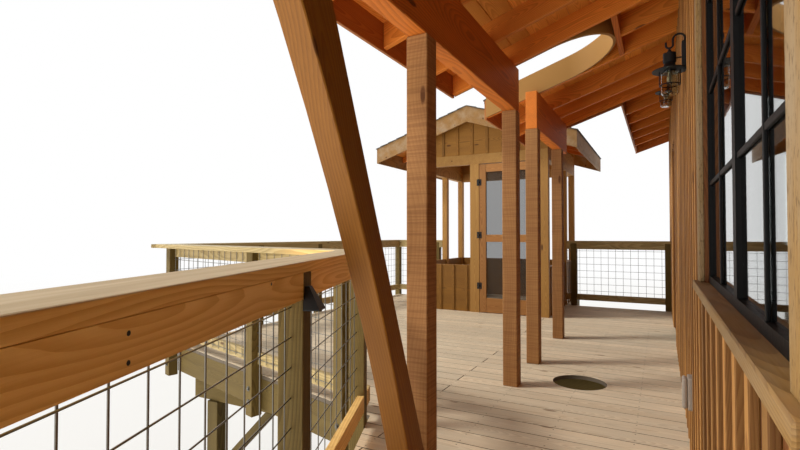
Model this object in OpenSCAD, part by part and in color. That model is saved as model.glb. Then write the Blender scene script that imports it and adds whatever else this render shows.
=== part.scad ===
/* [Platform] */
// Height of the deck boards above the ground
deck_h = 3000; // [2400:50:4200]
// Thickness of the deck boards
deck_t = 30; // [25:1:38]
// Depth of the floor joists
joist_h = 235; // [184:1:286]
// Spacing of the floor joists
joist_pitch = 406; // [305:1:610]
// Thickness of joists, rafters and rails
ply = 38; // [35:1:45]
// Size of the square posts under the platform
support_w = 140; // [120:5:200]
// Diameter of the round hole that a trunk passes through
trunk_hole_d = 375; // [300:5:420]

/* [Cabin] */
// Length of the cabin
cabin_len = 10450; // [9800:50:11200]
// Depth of the cabin
cabin_dep = 4750; // [4200:50:5400]
// Thickness of the outer walls
wall_t = 150; // [120:5:200]
// Height of the rafters' lower edge over the front wall
wall_h = 2660; // [2600:10:2760]
// Width of a cabin window
window_w = 1350; // [900:10:1380]
// Height of a window's sill above the floor
sill_z = 920; // [800:10:1000]
// Height of a window's head above the floor
head_z = 2235; // [2100:5:2250]

/* [Roof] */
// Depth of a rafter, square to the slope
rafter_h = 140; // [120:1:184]
// Overhang of the roof past the end walls
gable_hang = 600; // [400:50:800]
// Width of the slot through which a trunk passes the eave
slot_w = 780; // [700:10:800]

/* [Porch] */
// Size of the porch posts
post_w = 104; // [90:1:120]
// Depth of the porch beams
beam_h = 320; // [240:10:330]
// Width of the leaning strut
strut_w = 104; // [90:1:120]

/* [Railing] */
// Height of the railing above the deck
rail_z = 995; // [914:1:1070]
// Width of the flat cap rail
cap_w = 184; // [140:1:200]
// Size of the railing posts
rail_post_w = 89; // [89:1:100]
// Spacing of the wires in the railing panels
wire_pitch = 101.6; // [90:0.1:150]
// Thickness of the wires
wire_d = 5; // [4:0.5:6]

/* [Hut] */
// Width of the hut
hut_w = 2100; // [1900:10:2200]
// Depth of the hut
hut_dep = 2200; // [1900:10:2400]
// Width of the hut's door leaf
door_w = 790; // [700:10:800]
// Height of the hut's door leaf
door_h = 2070; // [1950:10:2074]

/* [Hidden] */

// The plan is drawn from a datum on the deck: x runs towards the cabin, y along its front
// wall, and z is 0 on the deck boards
wall_x = 133;
back_x = wall_x + cabin_dep;
near_y = -1950;
far_y = near_y + cabin_len;
ridge_x = (wall_x + back_x) / 2;

// Roof slope of 4 in 12, the same on the cabin, the porch and the hut. Heights marked _v are
// plumb heights over the rafters' lower edge, and slack keeps sloping pieces from biting in.
pitch = 1 / 3;
slope_deg = atan(pitch);
rafter_v = rafter_h / cos(slope_deg);
slack = 0.1;
joint = 0.5;
board_v = 21;
boards_v1 = rafter_v + board_v;
roofing_v = 14;
porch_eave_x = -1390;
short_eave_x = -350;
back_eave_x = 2 * ridge_x - short_eave_x;
porch_y0 = 150;
porch_y1 = 5650;
roof_y0 = near_y - gable_hang;
roof_y1 = far_y + gable_hang;
fascia_t = 20;
fascia_h = 184;
drip = 12;

// The slot that a trunk passes through, with a round inner end
slot_r = slot_w / 2;
slot_x = -670;
slot_y = 3840;
lining_t = 19;

// Beams, posts and strut of the porch
beam_t = 96;
beam_x = -963;
beam_z1 = wall_h - (wall_x - beam_x - beam_t / 2) * pitch;
beam_z0 = beam_z1 - beam_h;
beam_runs = [[200, 3542], [4130, 5600]];
post_ys = [1990, 3490, 4182, 5300];

// Plan of the deck
edge_p = 504;
edge_nx = 0.927;
edge_ny = sqrt(1 - edge_nx * edge_nx);
deck_x0 = -4262;
deck_y0 = 3215;
deck_y1 = 7860;
tip_y = -1200;
corner_y = 2490;
edge_a = [(-edge_p - edge_ny * tip_y) / edge_nx, tip_y];
edge_b = [(-edge_p - edge_ny * corner_y) / edge_nx, corner_y];
edge_c = [deck_x0, deck_y0];
trunk_x = -540;
trunk_y = 3780;

// The hut stands on its own bay at the far edge of the deck
hut_x0 = -3400;
hut_x1 = hut_x0 + hut_w;
hut_y0 = 6500;
hut_y1 = hut_y0 + hut_dep;
hut_bay = 60;
hut_post_w = 90;
hut_ridge_x = (hut_x0 + hut_x1) / 2;
hut_head = 2090;
hut_top = 2407;
hut_sill = 660;
hut_eave = 375;
hut_gable_hang = 200;
hut_mid_w = 133;
hut_mid_x = -2318;

// Outer limits of the model, from which the origin under its middle follows
site_x0 = deck_x0 - cap_w;
site_x1 = back_eave_x + fascia_t + drip;
site_y0 = roof_y0 - fascia_t - drip;
site_y1 = roof_y1 + fascia_t + drip;

deck_plan = [[wall_x, tip_y], edge_a, edge_b, edge_c, [deck_x0, deck_y1],
    [hut_x0 - hut_bay, deck_y1], [hut_x0 - hut_bay, hut_y1 + hut_bay],
    [hut_x1 + hut_bay, hut_y1 + hut_bay], [hut_x1 + hut_bay, deck_y1], [wall_x, deck_y1]];
platform_plan = concat(deck_plan, [[wall_x, far_y], [back_x, far_y], [back_x, near_y],
    [wall_x, near_y]]);

// Lower edge of the rafters at x, on the front slope and on the back slope
function low_z(x) = wall_h + (x - wall_x) * pitch;
function roof_z(x) = x < ridge_x ? low_z(x) : low_z(2 * ridge_x - x);
function hut_z(x) = hut_top + (hut_w / 2 - abs(x - hut_ridge_x)) * pitch;

module on_site() {
    translate([-(site_x0 + site_x1) / 2, -(site_y0 + site_y1) / 2, deck_h]) children();
}

module block(x0, x1, y0, y1, z0, z1) {
    translate([x0, y0, z0]) cube([x1 - x0, y1 - y0, z1 - z0]);
}

// A profile in x and z, drawn out along y
module along_y(y0, y1) {
    translate([0, y1, 0]) rotate([90, 0, 0]) linear_extrude(y1 - y0) children();
}

// A layer of the front slope between two heights over the rafters' lower edge
module front_layer(x0, x1, y0, y1, v0, v1) {
    along_y(y0, y1) polygon([[x0, low_z(x0) + v0], [x1, low_z(x1) + v0],
        [x1, low_z(x1) + v1], [x0, low_z(x0) + v1]]);
}

module back_layer(x0, x1, y0, y1, v0, v1) {
    translate([2 * ridge_x, 0, 0]) mirror([1, 0, 0])
        front_layer(2 * ridge_x - x1, 2 * ridge_x - x0, y0, y1, v0, v1);
}

// Plan of the trunk slot, made larger all round by grow
module slot_plan(grow = 0) {
    translate([slot_x, slot_y]) circle(r = slot_r + grow, $fn = 96);
    translate([slot_x - 1500, slot_y - slot_r - grow]) square([1500, slot_w + 2 * grow]);
}

// Plan of the front slope: deep over the porch, short beyond it
module front_plan(over = 0) {
    difference() {
        union() {
            translate([porch_eave_x - over, porch_y0 - over])
                square([ridge_x - porch_eave_x + over, porch_y1 - porch_y0 + 2 * over]);
            translate([short_eave_x - over, roof_y0 - over])
                square([ridge_x - short_eave_x + over, roof_y1 - roof_y0 + 2 * over]);
        }
        slot_plan();
    }
}

// Floor structure
beam_rows = [[300, 4800, -1700], [-760, 4800, 850], [-4180, 4800, 3400], [-4180, 4800, 5500],
    [-4180, 4800, 7700], [-3300, 4800, 8400]];
support_xs = [[400, 2500, 4600], [-600, 2000, 4600], [-3900, -1500, 1600, 4600],
    [-3900, -1500, 1600, 4600], [-3900, -1500, 1600, 4600], [-3150, -1500, 1600, 4600]];
beam_w = 90;
beam_d = 286;
joist_z1 = -deck_t;
joist_z0 = joist_z1 - joist_h;
girder_z0 = joist_z0 - beam_d;

module support_posts() {
    color("#8d7b52") on_site()
        for (i = [0 : len(beam_rows) - 1], x = support_xs[i])
            block(x - support_w / 2, x + support_w / 2, beam_rows[i][2] - support_w / 2,
                beam_rows[i][2] + support_w / 2, -deck_h, girder_z0);
}

// A brace from a post to the beam above it, leaning towards +x or -x
brace_run = 600;
brace_t = 90;
module knee_brace(x, y, way) {
    face = support_w / 2;
    translate([x, y - brace_t / 2, girder_z0]) along_y(0, brace_t)
        polygon(way > 0
            ? [[face, -brace_run - brace_t], [face, -brace_run], [face + brace_run, 0],
                [face + brace_run + brace_t, 0]]
            : [[-face, -brace_run], [-face, -brace_run - brace_t],
                [-face - brace_run - brace_t, 0], [-face - brace_run, 0]]);
}

module knee_braces() {
    color("#8a7750") on_site()
        for (i = [2 : len(beam_rows) - 1]) {
            xs = support_xs[i];
            knee_brace(xs[0], beam_rows[i][2], 1);
            knee_brace(xs[3], beam_rows[i][2], -1);
        }
}

module deck_beams() {
    color("#927f54") on_site()
        for (b = beam_rows)
            block(b[0], b[1], b[2] - beam_w / 2, b[2] + beam_w / 2, girder_z0, joist_z0);
}

// Joists run along y. One is cut where the trunk hole is, and headers carry its ends.
box_y = 300;
joist_xs = [for (x = [trunk_x - 9 * joist_pitch : joist_pitch : back_x - 60]) x];
module joist_field() {
    for (x = joist_xs)
        block(x - ply / 2, x + ply / 2, near_y, hut_y1 + 10, joist_z0, joist_z1);
}

module deck_joists() {
    color("#9a8558") on_site() intersection() {
        difference() {
            joist_field();
            block(trunk_x - ply, trunk_x + ply, trunk_y - box_y - ply / 2,
                trunk_y + box_y + ply / 2, joist_z0 - 1, joist_z1 + 1);
        }
        translate([0, 0, joist_z0 - 1]) linear_extrude(joist_h + 2)
            offset(delta = -ply) polygon(platform_plan);
    }
}

module hole_headers() {
    half = joist_pitch - ply / 2;
    color("#9a8558") on_site() for (s = [-1, 1])
        block(trunk_x - half, trunk_x + half, trunk_y + s * box_y - ply / 2,
            trunk_y + s * box_y + ply / 2, joist_z0, joist_z1);
}

// Boards on edge round the platform, which meet in mitred joints
module rim_joists() {
    n = len(platform_plan);
    color("#a38d5d") on_site() translate([0, 0, joist_z0]) linear_extrude(joist_h)
        difference() {
            polygon(platform_plan);
            offset(delta = -ply) polygon(platform_plan);
            for (i = [0 : n - 1]) {
                a = platform_plan[(i + n - 1) % n] - platform_plan[i];
                b = platform_plan[(i + 1) % n] - platform_plan[i];
                m = a / norm(a) + b / norm(b);
                translate(platform_plan[i]) rotate(atan2(m[1], m[0]))
                    translate([-2 * ply, -joint / 2]) square([4 * ply, joint]);
            }
        }
}

module deck_floor() {
    color("#cdb594") on_site() translate([0, 0, -deck_t]) linear_extrude(deck_t)
        difference() {
            polygon(deck_plan);
            translate([trunk_x, trunk_y]) circle(d = trunk_hole_d, $fn = 96);
        }
}

module cabin_floor() {
    color("#b98d5c") on_site()
        block(wall_x, back_x, near_y, far_y, -deck_t, 0);
}

// Windows, given by the y or x of their middle
front_windows = [-350, 1314];
back_windows = [-400, 2200, 4300, 6900];
near_windows = [1500, 3500];
far_windows = [1500, 3500];
door_y0 = 5560;
door_y1 = 6480;
cabin_door_h = 2060;

rafter_ys = concat([for (i = [0 : 3]) -1950 + 600 * i], [porch_y0, 570, 1170, 1770, 2370, 2957,
    slot_y - slot_r - ply, slot_y + slot_r, 4813, 5213, porch_y1 - ply],
    [for (i = [0 : 4]) far_y - ply - 560 * i]);

// Rafters of the porch reach its deep eave, the others stop at the short one
function over_porch(y) = y >= porch_y0 && y < porch_y1;
function eave_of(y) = over_porch(y) ? porch_eave_x : short_eave_x;

module front_rafter(y) {
    front_layer(eave_of(y), ridge_x - ridge_t / 2, y, y + ply, 0, rafter_v - slack);
}

module back_rafter(y) {
    back_layer(ridge_x + ridge_t / 2, back_eave_x, y, y + ply, 0, rafter_v - slack);
}

ridge_t = 80;
ridge_h = 300;
ridge_z1 = low_z(ridge_x - ridge_t / 2) + rafter_v;
jack_y = slot_y - ply / 2;

module rafters() {
    color("#c97f3e") on_site() difference() {
        union() {
            for (y = rafter_ys) {
                front_rafter(y);
                back_rafter(y);
            }
            front_layer(slot_x + slot_r + ply, ridge_x - ridge_t / 2, jack_y,
                jack_y + ply, 0, rafter_v - slack);
        }
        for (b = beam_runs)
            block(beam_x - beam_t / 2, beam_x + beam_t / 2, b[0], b[1], beam_z0, beam_z1);
    }
}

// Outline of a long wall: its top follows the slope up to the roof boards
wall_v = rafter_v - slack;
module long_wall() {
    along_y(near_y, far_y) polygon([[wall_x, 0], [wall_x + wall_t, 0],
        [wall_x + wall_t, low_z(wall_x + wall_t) + wall_v], [wall_x, low_z(wall_x) + wall_v]]);
}

module rafter_notches(ys) {
    for (y = ys)
        front_layer(wall_x - 10, wall_x + wall_t + 10, y, y + ply, -slack, rafter_v + 10);
}

module front_wall() {
    color("#c48a4a") on_site() difference() {
        long_wall();
        rafter_notches(concat(rafter_ys, [jack_y]));
        for (y = front_windows)
            block(wall_x - 10, wall_x + wall_t + 10, y - window_w / 2, y + window_w / 2,
                sill_z - sill_t, head_z);
        block(wall_x - 10, wall_x + wall_t + 10, door_y0, door_y1, -1, cabin_door_h);
    }
}

module back_wall() {
    color("#c0864a") on_site() translate([2 * ridge_x, 0, 0]) mirror([1, 0, 0]) difference() {
        long_wall();
        rafter_notches(rafter_ys);
        for (y = back_windows)
            block(wall_x - 10, wall_x + wall_t + 10, y - window_w / 2, y + window_w / 2,
                sill_z - sill_t, head_z);
    }
}

// A gable wall between the long walls, pocketed for the ridge beam
module end_wall(y0, windows) {
    x0 = wall_x + wall_t;
    x1 = back_x - wall_t;
    difference() {
        along_y(y0, y0 + wall_t) polygon([[x0, 0], [x1, 0], [x1, roof_z(x1) + wall_v],
            [ridge_x, low_z(ridge_x) + wall_v], [x0, low_z(x0) + wall_v]]);
        block(ridge_x - ridge_t / 2, ridge_x + ridge_t / 2, y0 - 10, y0 + wall_t + 10,
            ridge_z1 - ridge_h, ridge_z1 + 200);
        for (x = windows)
            block(x - window_w / 2, x + window_w / 2, y0 - 10, y0 + wall_t + 10,
                sill_z - sill_t, head_z);
        for (y = rafter_ys) {
            front_layer(x0 - 10, ridge_x, y, y + ply, -slack, rafter_v + 10);
            back_layer(ridge_x, x1 + 10, y, y + ply, -slack, rafter_v + 10);
        }
    }
}

module near_end_wall() {
    color("#c38849") on_site() end_wall(near_y, near_windows);
}

module far_end_wall() {
    color("#c38849") on_site() end_wall(far_y - wall_t, far_windows);
}

module ridge_beam() {
    color("#b9722f") on_site()
        block(ridge_x - ridge_t / 2, ridge_x + ridge_t / 2, roof_y0, roof_y1,
            ridge_z1 - ridge_h, ridge_z1);
}

// Things set in a window opening, drawn for a wall whose outer face is x = 0 and whose inside
// is towards +x, with the opening's middle at y = 0
module at_windows() {
    for (y = front_windows) translate([wall_x, y, 0]) children();
    for (y = back_windows) translate([back_x, y, 0]) mirror([1, 0, 0]) children();
    for (x = near_windows) translate([x, near_y, 0]) rotate([0, 0, 90]) children();
    for (x = far_windows) translate([x, far_y, 0]) rotate([0, 0, -90]) children();
}

frame_w = 25;
frame_in = 12;
frame_t = 90;
mullion_w = 50;
glass_in = 10;
glass_t = 6;
light_w = (window_w - mullion_w - 2 * frame_w) / 2;

module at_lights() {
    at_windows() for (s = [-1, 1]) translate([0, s * (light_w + mullion_w) / 2, 0]) children();
}

module window_frames() {
    color("#1d1c1b") on_site() difference() {
        at_windows()
            block(frame_in, frame_in + frame_t, -window_w / 2, window_w / 2, sill_z, head_z);
        at_lights() block(frame_in - 1, frame_in + frame_t + 1, -light_w / 2, light_w / 2,
            sill_z + frame_w, head_z - frame_w);
    }
}

module window_glass() {
    glass_x = frame_in + glass_in;
    color("#9fb4b8") on_site() at_lights()
        block(glass_x, glass_x + glass_t, -light_w / 2, light_w / 2, sill_z + frame_w,
            head_z - frame_w);
}

// A sill board runs out from under each window and past its casings, which stand on it
sill_t = 30;
sill_out = 33;
trim_w = 95;
trim_t = 17;
module window_sills() {
    color("#c98d50") on_site() at_windows() {
        block(-sill_out, 0, -window_w / 2 - trim_w, window_w / 2 + trim_w, sill_z - sill_t,
            sill_z);
        block(-1, frame_in + frame_t, -window_w / 2, window_w / 2, sill_z - sill_t, sill_z);
    }
}

// Each window has a board down either side and one across its head
module wall_trim() {
    color("#cf9a5b") on_site() {
        at_windows() {
            block(-trim_t, 0, -window_w / 2 - trim_w, window_w / 2 + trim_w, head_z + joint,
                head_z + trim_w);
            for (s = [-1, 1]) {
                y = s * (window_w + trim_w) / 2;
                block(-trim_t, 0, y - trim_w / 2, y + trim_w / 2, sill_z, head_z);
            }
        }
        for (m = [0, 1], n = [0, 1])
            translate([ridge_x, (near_y + far_y) / 2, 0]) mirror([m, 0, 0]) mirror([0, n, 0])
                corner_boards();
    }
}

// Two boards that meet at an outer corner, drawn from the middle of the cabin
module corner_boards() {
    x = cabin_dep / 2;
    y = cabin_len / 2;
    block(x - trim_w, x + trim_t, y, y + trim_t, 0, wall_h - 10);
    block(x, x + trim_t, y - trim_w, y - joint, 0, wall_h - 10);
}

// A glazed door in the front wall, with its frame
module cabin_door() {
    color("#33302c") on_site() {
        difference() {
            block(wall_x + 20, wall_x + 110, door_y0, door_y1, 0, cabin_door_h);
            block(wall_x, wall_x + 200, door_y0 + 40, door_y1 - 40, -1, cabin_door_h - 40);
        }
        difference() {
            block(wall_x + 45, wall_x + 90, door_y0 + 40, door_y1 - 40, 0, cabin_door_h - 40);
            block(wall_x, wall_x + 200, door_y0 + 160, door_y1 - 160, 900, cabin_door_h - 160);
        }
        block(wall_x + 60, wall_x + 72, door_y0 + 160, door_y1 - 160, 900, cabin_door_h - 160);
    }
}

// The trunk slot: a header closes its inner end and a bent board lines it
module slot_header() {
    color("#c4793a") on_site()
        front_layer(slot_x + slot_r, slot_x + slot_r + ply,
            slot_y - slot_r, slot_y + slot_r, 0, rafter_v - slack);
}

module slot_lining() {
    color("#d08b4a") on_site() difference() {
        intersection() {
            front_layer(porch_eave_x, slot_x + slot_r + lining_t, slot_y - slot_r,
                slot_y + slot_r, 0, boards_v1 + roofing_v + 12);
            translate([0, 0, 1000]) linear_extrude(3000) difference() {
                slot_plan();
                slot_plan(-lining_t);
            }
        }
        for (b = beam_runs)
            block(beam_x - beam_t / 2, beam_x + beam_t / 2, b[0], b[1], beam_z0, beam_z1);
    }
}

module front_roof_boards() {
    color("#dba263") on_site() intersection() {
        front_layer(porch_eave_x - 100, ridge_x, roof_y0 - 100, roof_y1 + 100, rafter_v,
            boards_v1 - slack);
        translate([0, 0, 1000]) linear_extrude(4000) front_plan();
    }
}

module back_roof_boards() {
    color("#dba263") on_site()
        back_layer(ridge_x, back_eave_x, roof_y0, roof_y1, rafter_v, boards_v1 - slack);
}

module front_roofing() {
    color("#2a2a2b") on_site() intersection() {
        front_layer(porch_eave_x - 100, ridge_x, roof_y0 - 100, roof_y1 + 100,
            boards_v1, boards_v1 + roofing_v);
        translate([0, 0, 1000]) linear_extrude(4000) front_plan(fascia_t + drip);
    }
}

module back_roofing() {
    color("#2a2a2b") on_site()
        back_layer(ridge_x, back_eave_x + fascia_t + drip, roof_y0 - fascia_t - drip,
            roof_y1 + fascia_t + drip, boards_v1, boards_v1 + roofing_v);
}

// Fascia boards along the eaves
function fascia_z(x) = low_z(x) + boards_v1 - fascia_h;
module fascia(x, y0, y1) {
    block(x - fascia_t, x, y0, y1, fascia_z(x), fascia_z(x) + fascia_h - fascia_t * pitch);
}

module eave_fascia() {
    color("#b5733a") on_site() {
        fascia(porch_eave_x, porch_y0, slot_y - slot_r);
        fascia(porch_eave_x, slot_y + slot_r, porch_y1);
        fascia(short_eave_x, roof_y0, porch_y0 - fascia_t);
        fascia(short_eave_x, porch_y1 + fascia_t, roof_y1);
        translate([2 * ridge_x, 0, 0]) mirror([1, 0, 0]) fascia(short_eave_x, roof_y0, roof_y1);
    }
}

// The rake boards meet in a plumb joint at the ridge
module rake_boards() {
    v0 = boards_v1 - fascia_h / cos(slope_deg);
    v1 = boards_v1 - slack;
    color("#b06e37") on_site() {
        for (y = [roof_y0 - fascia_t, roof_y1]) {
            front_layer(short_eave_x - fascia_t, ridge_x - joint, y, y + fascia_t, v0, v1);
            back_layer(ridge_x + joint, back_eave_x + fascia_t, y, y + fascia_t, v0, v1);
        }
        for (y = [porch_y0 - fascia_t, porch_y1])
            front_layer(porch_eave_x - fascia_t, short_eave_x, y, y + fascia_t, v0, v1);
    }
}

module porch_beams() {
    color("#c5742f") on_site() for (b = beam_runs)
        block(beam_x - beam_t / 2, beam_x + beam_t / 2, b[0], b[1], beam_z0, beam_z1);
}

module porch_post(y) {
    block(beam_x - post_w / 2, beam_x + post_w / 2, y - post_w / 2, y + post_w / 2, 0, beam_z0);
}

module porch_posts() {
    color("#b9652a") on_site() for (y = post_ys) porch_post(y);
}

// The strut leans from the foot of the first post to the beam. Its lower edge bows outwards, its
// upper edge is straight and is cut plumb against the post.
strut_low = [1816, 960];
strut_high = [1970, 1173];
strut_bow = 72;
strut_steps = 16;
function strut_y(t) = strut_low[0] + (strut_low[1] - strut_low[0]) * t
    + 4 * strut_bow * t * (1 - t);
module leaning_strut() {
    post_y = post_ys[0] - post_w / 2;
    cut_z = beam_z0 * (strut_high[0] - post_y) / (strut_high[0] - strut_high[1]);
    color("#c9793a") on_site() translate([beam_x - strut_w / 2, 0, 0]) rotate([90, 0, 90])
        linear_extrude(strut_w) polygon(concat(
            [for (i = [0 : strut_steps]) [strut_y(i / strut_steps), beam_z0 * i / strut_steps]],
            [[strut_high[1], beam_z0], [post_y, cut_z], [post_y, 0]]));
}

// Railing runs round the deck. A run is drawn along +x, with the deck towards -y.
near_len = norm(edge_b - edge_a);
near_deg = atan2(edge_b[1] - edge_a[1], edge_b[0] - edge_a[0]);
front_len = norm(edge_c - edge_b);
front_deg = atan2(edge_c[1] - edge_b[1], edge_c[0] - edge_b[0]);
left_len = deck_y1 - deck_y0;
bay_x0 = hut_x0 - hut_bay;
bay_x1 = hut_x1 + hut_bay;
hut_gap_len = bay_x0 - deck_x0;
far_len = wall_x - bay_x1;
tip_len = wall_x - edge_a[0];

// Where the posts of each run stand, by their middle along the run
post_half = rail_post_w / 2;
near_posts = [post_half, 700, 2720, near_len - 150];
front_posts = [200, 1269, front_len + post_half];
left_posts = [1140, 2290, 3440, left_len + post_half];
hut_gap_posts = [hut_gap_len - post_half];
far_posts = [post_half, far_len - post_half];

module near_run() {
    translate([edge_a[0], edge_a[1], 0]) rotate([0, 0, near_deg]) children();
}

module front_run() {
    translate([edge_b[0], edge_b[1], 0]) rotate([0, 0, front_deg]) children();
}

module left_run() {
    translate([deck_x0, deck_y0, 0]) rotate([0, 0, 90]) children();
}

module hut_gap_run() {
    translate([deck_x0, deck_y1, 0]) children();
}

module far_run() {
    translate([bay_x1, deck_y1, 0]) children();
}

module tip_run() {
    translate([wall_x, tip_y, 0]) rotate([0, 0, 180]) children();
}

low_rail_z0 = 90;
low_rail_z1 = 180;
sub_rail_h = 89;
cap_z0 = rail_z - ply;
sub_rail_z0 = cap_z0 - sub_rail_h;

module post_plan(xs, grow) {
    for (x = xs)
        translate([x - post_half - grow, slack - grow]) square(rail_post_w + 2 * grow);
}

module all_post_plans(grow = 0) {
    near_run() post_plan(near_posts, grow);
    front_run() post_plan(front_posts, grow);
    left_run() post_plan(left_posts, grow);
    hut_gap_run() post_plan(hut_gap_posts, grow);
    far_run() post_plan(far_posts, grow);
}

// The railing posts run down past the rim joist, to which they are bolted
module rail_posts() {
    color("#a3946a") on_site() translate([0, 0, joist_z0 - 40])
        linear_extrude(cap_z0 - joist_z0 + 40) all_post_plans();
}

// Plan of a rail along the deck's edges, w wide. It is mitred at the corners, and open where the
// hut joins the far edge.
module rail_plan(w) {
    difference() {
        offset(delta = w) railed_plan();
        railed_plan();
        translate([wall_x, -5000]) square(15000);
        translate([hut_x0, deck_y1 - 1]) square([hut_w, w + 2]);
    }
}

module railed_plan() {
    polygon([[wall_x + 300, tip_y], edge_a, edge_b, edge_c, [deck_x0, deck_y1],
        [wall_x + 300, deck_y1]]);
}

// Rails run between the posts, flush with their inner faces
module rail_between_posts(z0, z1) {
    translate([0, 0, z0]) linear_extrude(z1 - z0) difference() {
        rail_plan(ply);
        all_post_plans(2 * slack);
    }
}

module top_rails() {
    color("#c98f4e") on_site() rail_between_posts(sub_rail_z0, cap_z0);
}

module bottom_rails() {
    color("#c08a4c") on_site() rail_between_posts(low_rail_z0, low_rail_z1);
}

module rail_caps() {
    color("#d9c3a0") on_site() translate([0, 0, cap_z0]) linear_extrude(ply) rail_plan(cap_w);
}

// A panel of square wire mesh between two posts, hung from the cap rail
wire_y = post_half;
wire_z0 = low_rail_z0 + 20;
wire_z1 = cap_z0;
wire_rows = floor((wire_z1 - wire_z0 - 40) / wire_pitch);
module wire_panel(x0, x1) {
    n = max(0, floor((x1 - x0 - 20) / wire_pitch));
    first = (x0 + x1 - n * wire_pitch) / 2;
    half = wire_d / 2;
    for (i = [0 : n]) {
        x = first + i * wire_pitch;
        block(x - half, x + half, wire_y - half, wire_y + half, wire_z0, wire_z1);
    }
    for (k = [0 : wire_rows]) {
        z = wire_z0 + 20 + k * wire_pitch;
        block(x0, x1, wire_y - half, wire_y + half, z - half, z + half);
    }
}

// Panels fill a run from x0 to x1, between its posts
module wire_run(xs, x0, x1) {
    ends = concat([x0 - post_half], xs, [x1 + post_half]);
    for (i = [0 : len(ends) - 2])
        if (ends[i + 1] - ends[i] > rail_post_w + 20)
            wire_panel(ends[i] + post_half, ends[i + 1] - post_half);
}

// At the inward corner the two panels meet short of the corner itself
corner_cut = (wire_y + wire_d) * tan((front_deg - near_deg) / 2);

// At the outward corner the side panel starts clear of the corner post, which is set square to
// the front run
turn_cut = rail_post_w * sin(180 - front_deg) + wire_d;

module near_wires() {
    color("#6e6a62") on_site() near_run() wire_run(near_posts, 0, near_len - corner_cut);
}

module side_wires() {
    color("#6e6a62") on_site() left_run() wire_run(left_posts, turn_cut, left_len);
}

module end_wires() {
    color("#6e6a62") on_site() {
        tip_run() wire_run([], 0, tip_len);
        front_run() wire_run(front_posts, corner_cut, front_len);
        hut_gap_run() wire_run(hut_gap_posts, 0, hut_gap_len);
        far_run() wire_run(far_posts, 0, far_len);
    }
}

// The hut: corner posts, a post beside the door, plates, panels below the openings
plate_h = 140;
jamb_gap = 6;
hinge_x = hut_mid_x + hut_mid_w / 2 + jamb_gap / 2;
door_x0 = hinge_x + jamb_gap / 2;
door_x1 = door_x0 + door_w;
latch_x = door_x1 + jamb_gap;
door_t = 38;
door_gap = 8;
hut_xs = [hut_x0, hut_x1 - hut_post_w];
hut_ys = [hut_y0, deck_y1, hut_y1 - hut_post_w];

module hut_post(x, y, w = hut_post_w) {
    block(x, x + w, y, y + hut_post_w, 0, hut_head);
}

module hut_posts() {
    color("#8a5a2c") on_site() {
        hut_post(hut_x0, hut_y0);
        hut_post(hut_mid_x - hut_mid_w / 2, hut_y0, hut_mid_w);
        hut_post(latch_x, hut_y0, hut_x1 - latch_x);
        for (x = hut_xs, i = [1, 2]) hut_post(x, hut_ys[i]);
        hut_post(hut_ridge_x - hut_post_w / 2, hut_ys[2]);
    }
}

module hut_plates() {
    color("#a8743a") on_site() {
        translate([0, 0, hut_head]) linear_extrude(plate_h) difference() {
            translate([hut_x0, hut_y0]) square([hut_w, hut_dep]);
            translate([hut_x0 + hut_post_w, hut_y0 + hut_post_w])
                square([hut_w - 2 * hut_post_w, hut_dep - 2 * hut_post_w]);
        }
        for (x = hut_xs)
            block(x, x + hut_post_w, hut_y0 + hut_post_w, hut_y1 - hut_post_w,
                hut_head + plate_h, hut_top);
    }
}

panel_t = 50;
panel_in = 20;
module hut_panels() {
    x0 = hut_x0 + hut_post_w;
    x1 = hut_x1 - hut_post_w;
    mid = hut_ridge_x;
    color("#c99b5c") on_site() {
        block(x0, hut_mid_x - hut_mid_w / 2, hut_y0 + panel_in, hut_y0 + panel_in + panel_t,
            0, hut_sill);
        for (s = [0, 1]) {
            y0 = hut_ys[s] + hut_post_w;
            y1 = hut_ys[s + 1];
            block(hut_x0 + panel_in, hut_x0 + panel_in + panel_t, y0, y1, 0, hut_sill);
            block(hut_x1 - panel_in - panel_t, hut_x1 - panel_in, y0, y1, 0, hut_sill);
        }
        block(x0, mid - hut_post_w / 2, hut_y1 - panel_in - panel_t, hut_y1 - panel_in, 0,
            hut_sill);
        block(mid + hut_post_w / 2, x1, hut_y1 - panel_in - panel_t, hut_y1 - panel_in, 0,
            hut_sill);
    }
}

hut_rafter_v = 95;
module hut_gables() {
    color("#cfa262") on_site() for (y = [hut_y0, hut_y1 - hut_post_w])
        along_y(y, y + hut_post_w) polygon([[hut_x0, hut_head + plate_h],
            [hut_x1, hut_head + plate_h], [hut_x1, hut_top + hut_rafter_v - slack],
            [hut_ridge_x, hut_z(hut_ridge_x) + hut_rafter_v - slack],
            [hut_x0, hut_top + hut_rafter_v - slack]]);
}

hut_eave_x = hut_x0 - hut_eave;
hut_roof_y0 = hut_y0 - hut_gable_hang;
hut_roof_y1 = hut_y1 + hut_gable_hang;

// A layer of the hut's two slopes, closed along the ridge
module hut_layer(over, y0, y1, v0, v1) {
    x0 = hut_eave_x - over;
    x1 = 2 * hut_ridge_x - x0;
    along_y(y0, y1) polygon([[x0, hut_z(x0) + v0], [hut_ridge_x, hut_z(hut_ridge_x) + v0],
        [x1, hut_z(x1) + v0], [x1, hut_z(x1) + v1], [hut_ridge_x, hut_z(hut_ridge_x) + v1],
        [x0, hut_z(x0) + v1]]);
}

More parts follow.
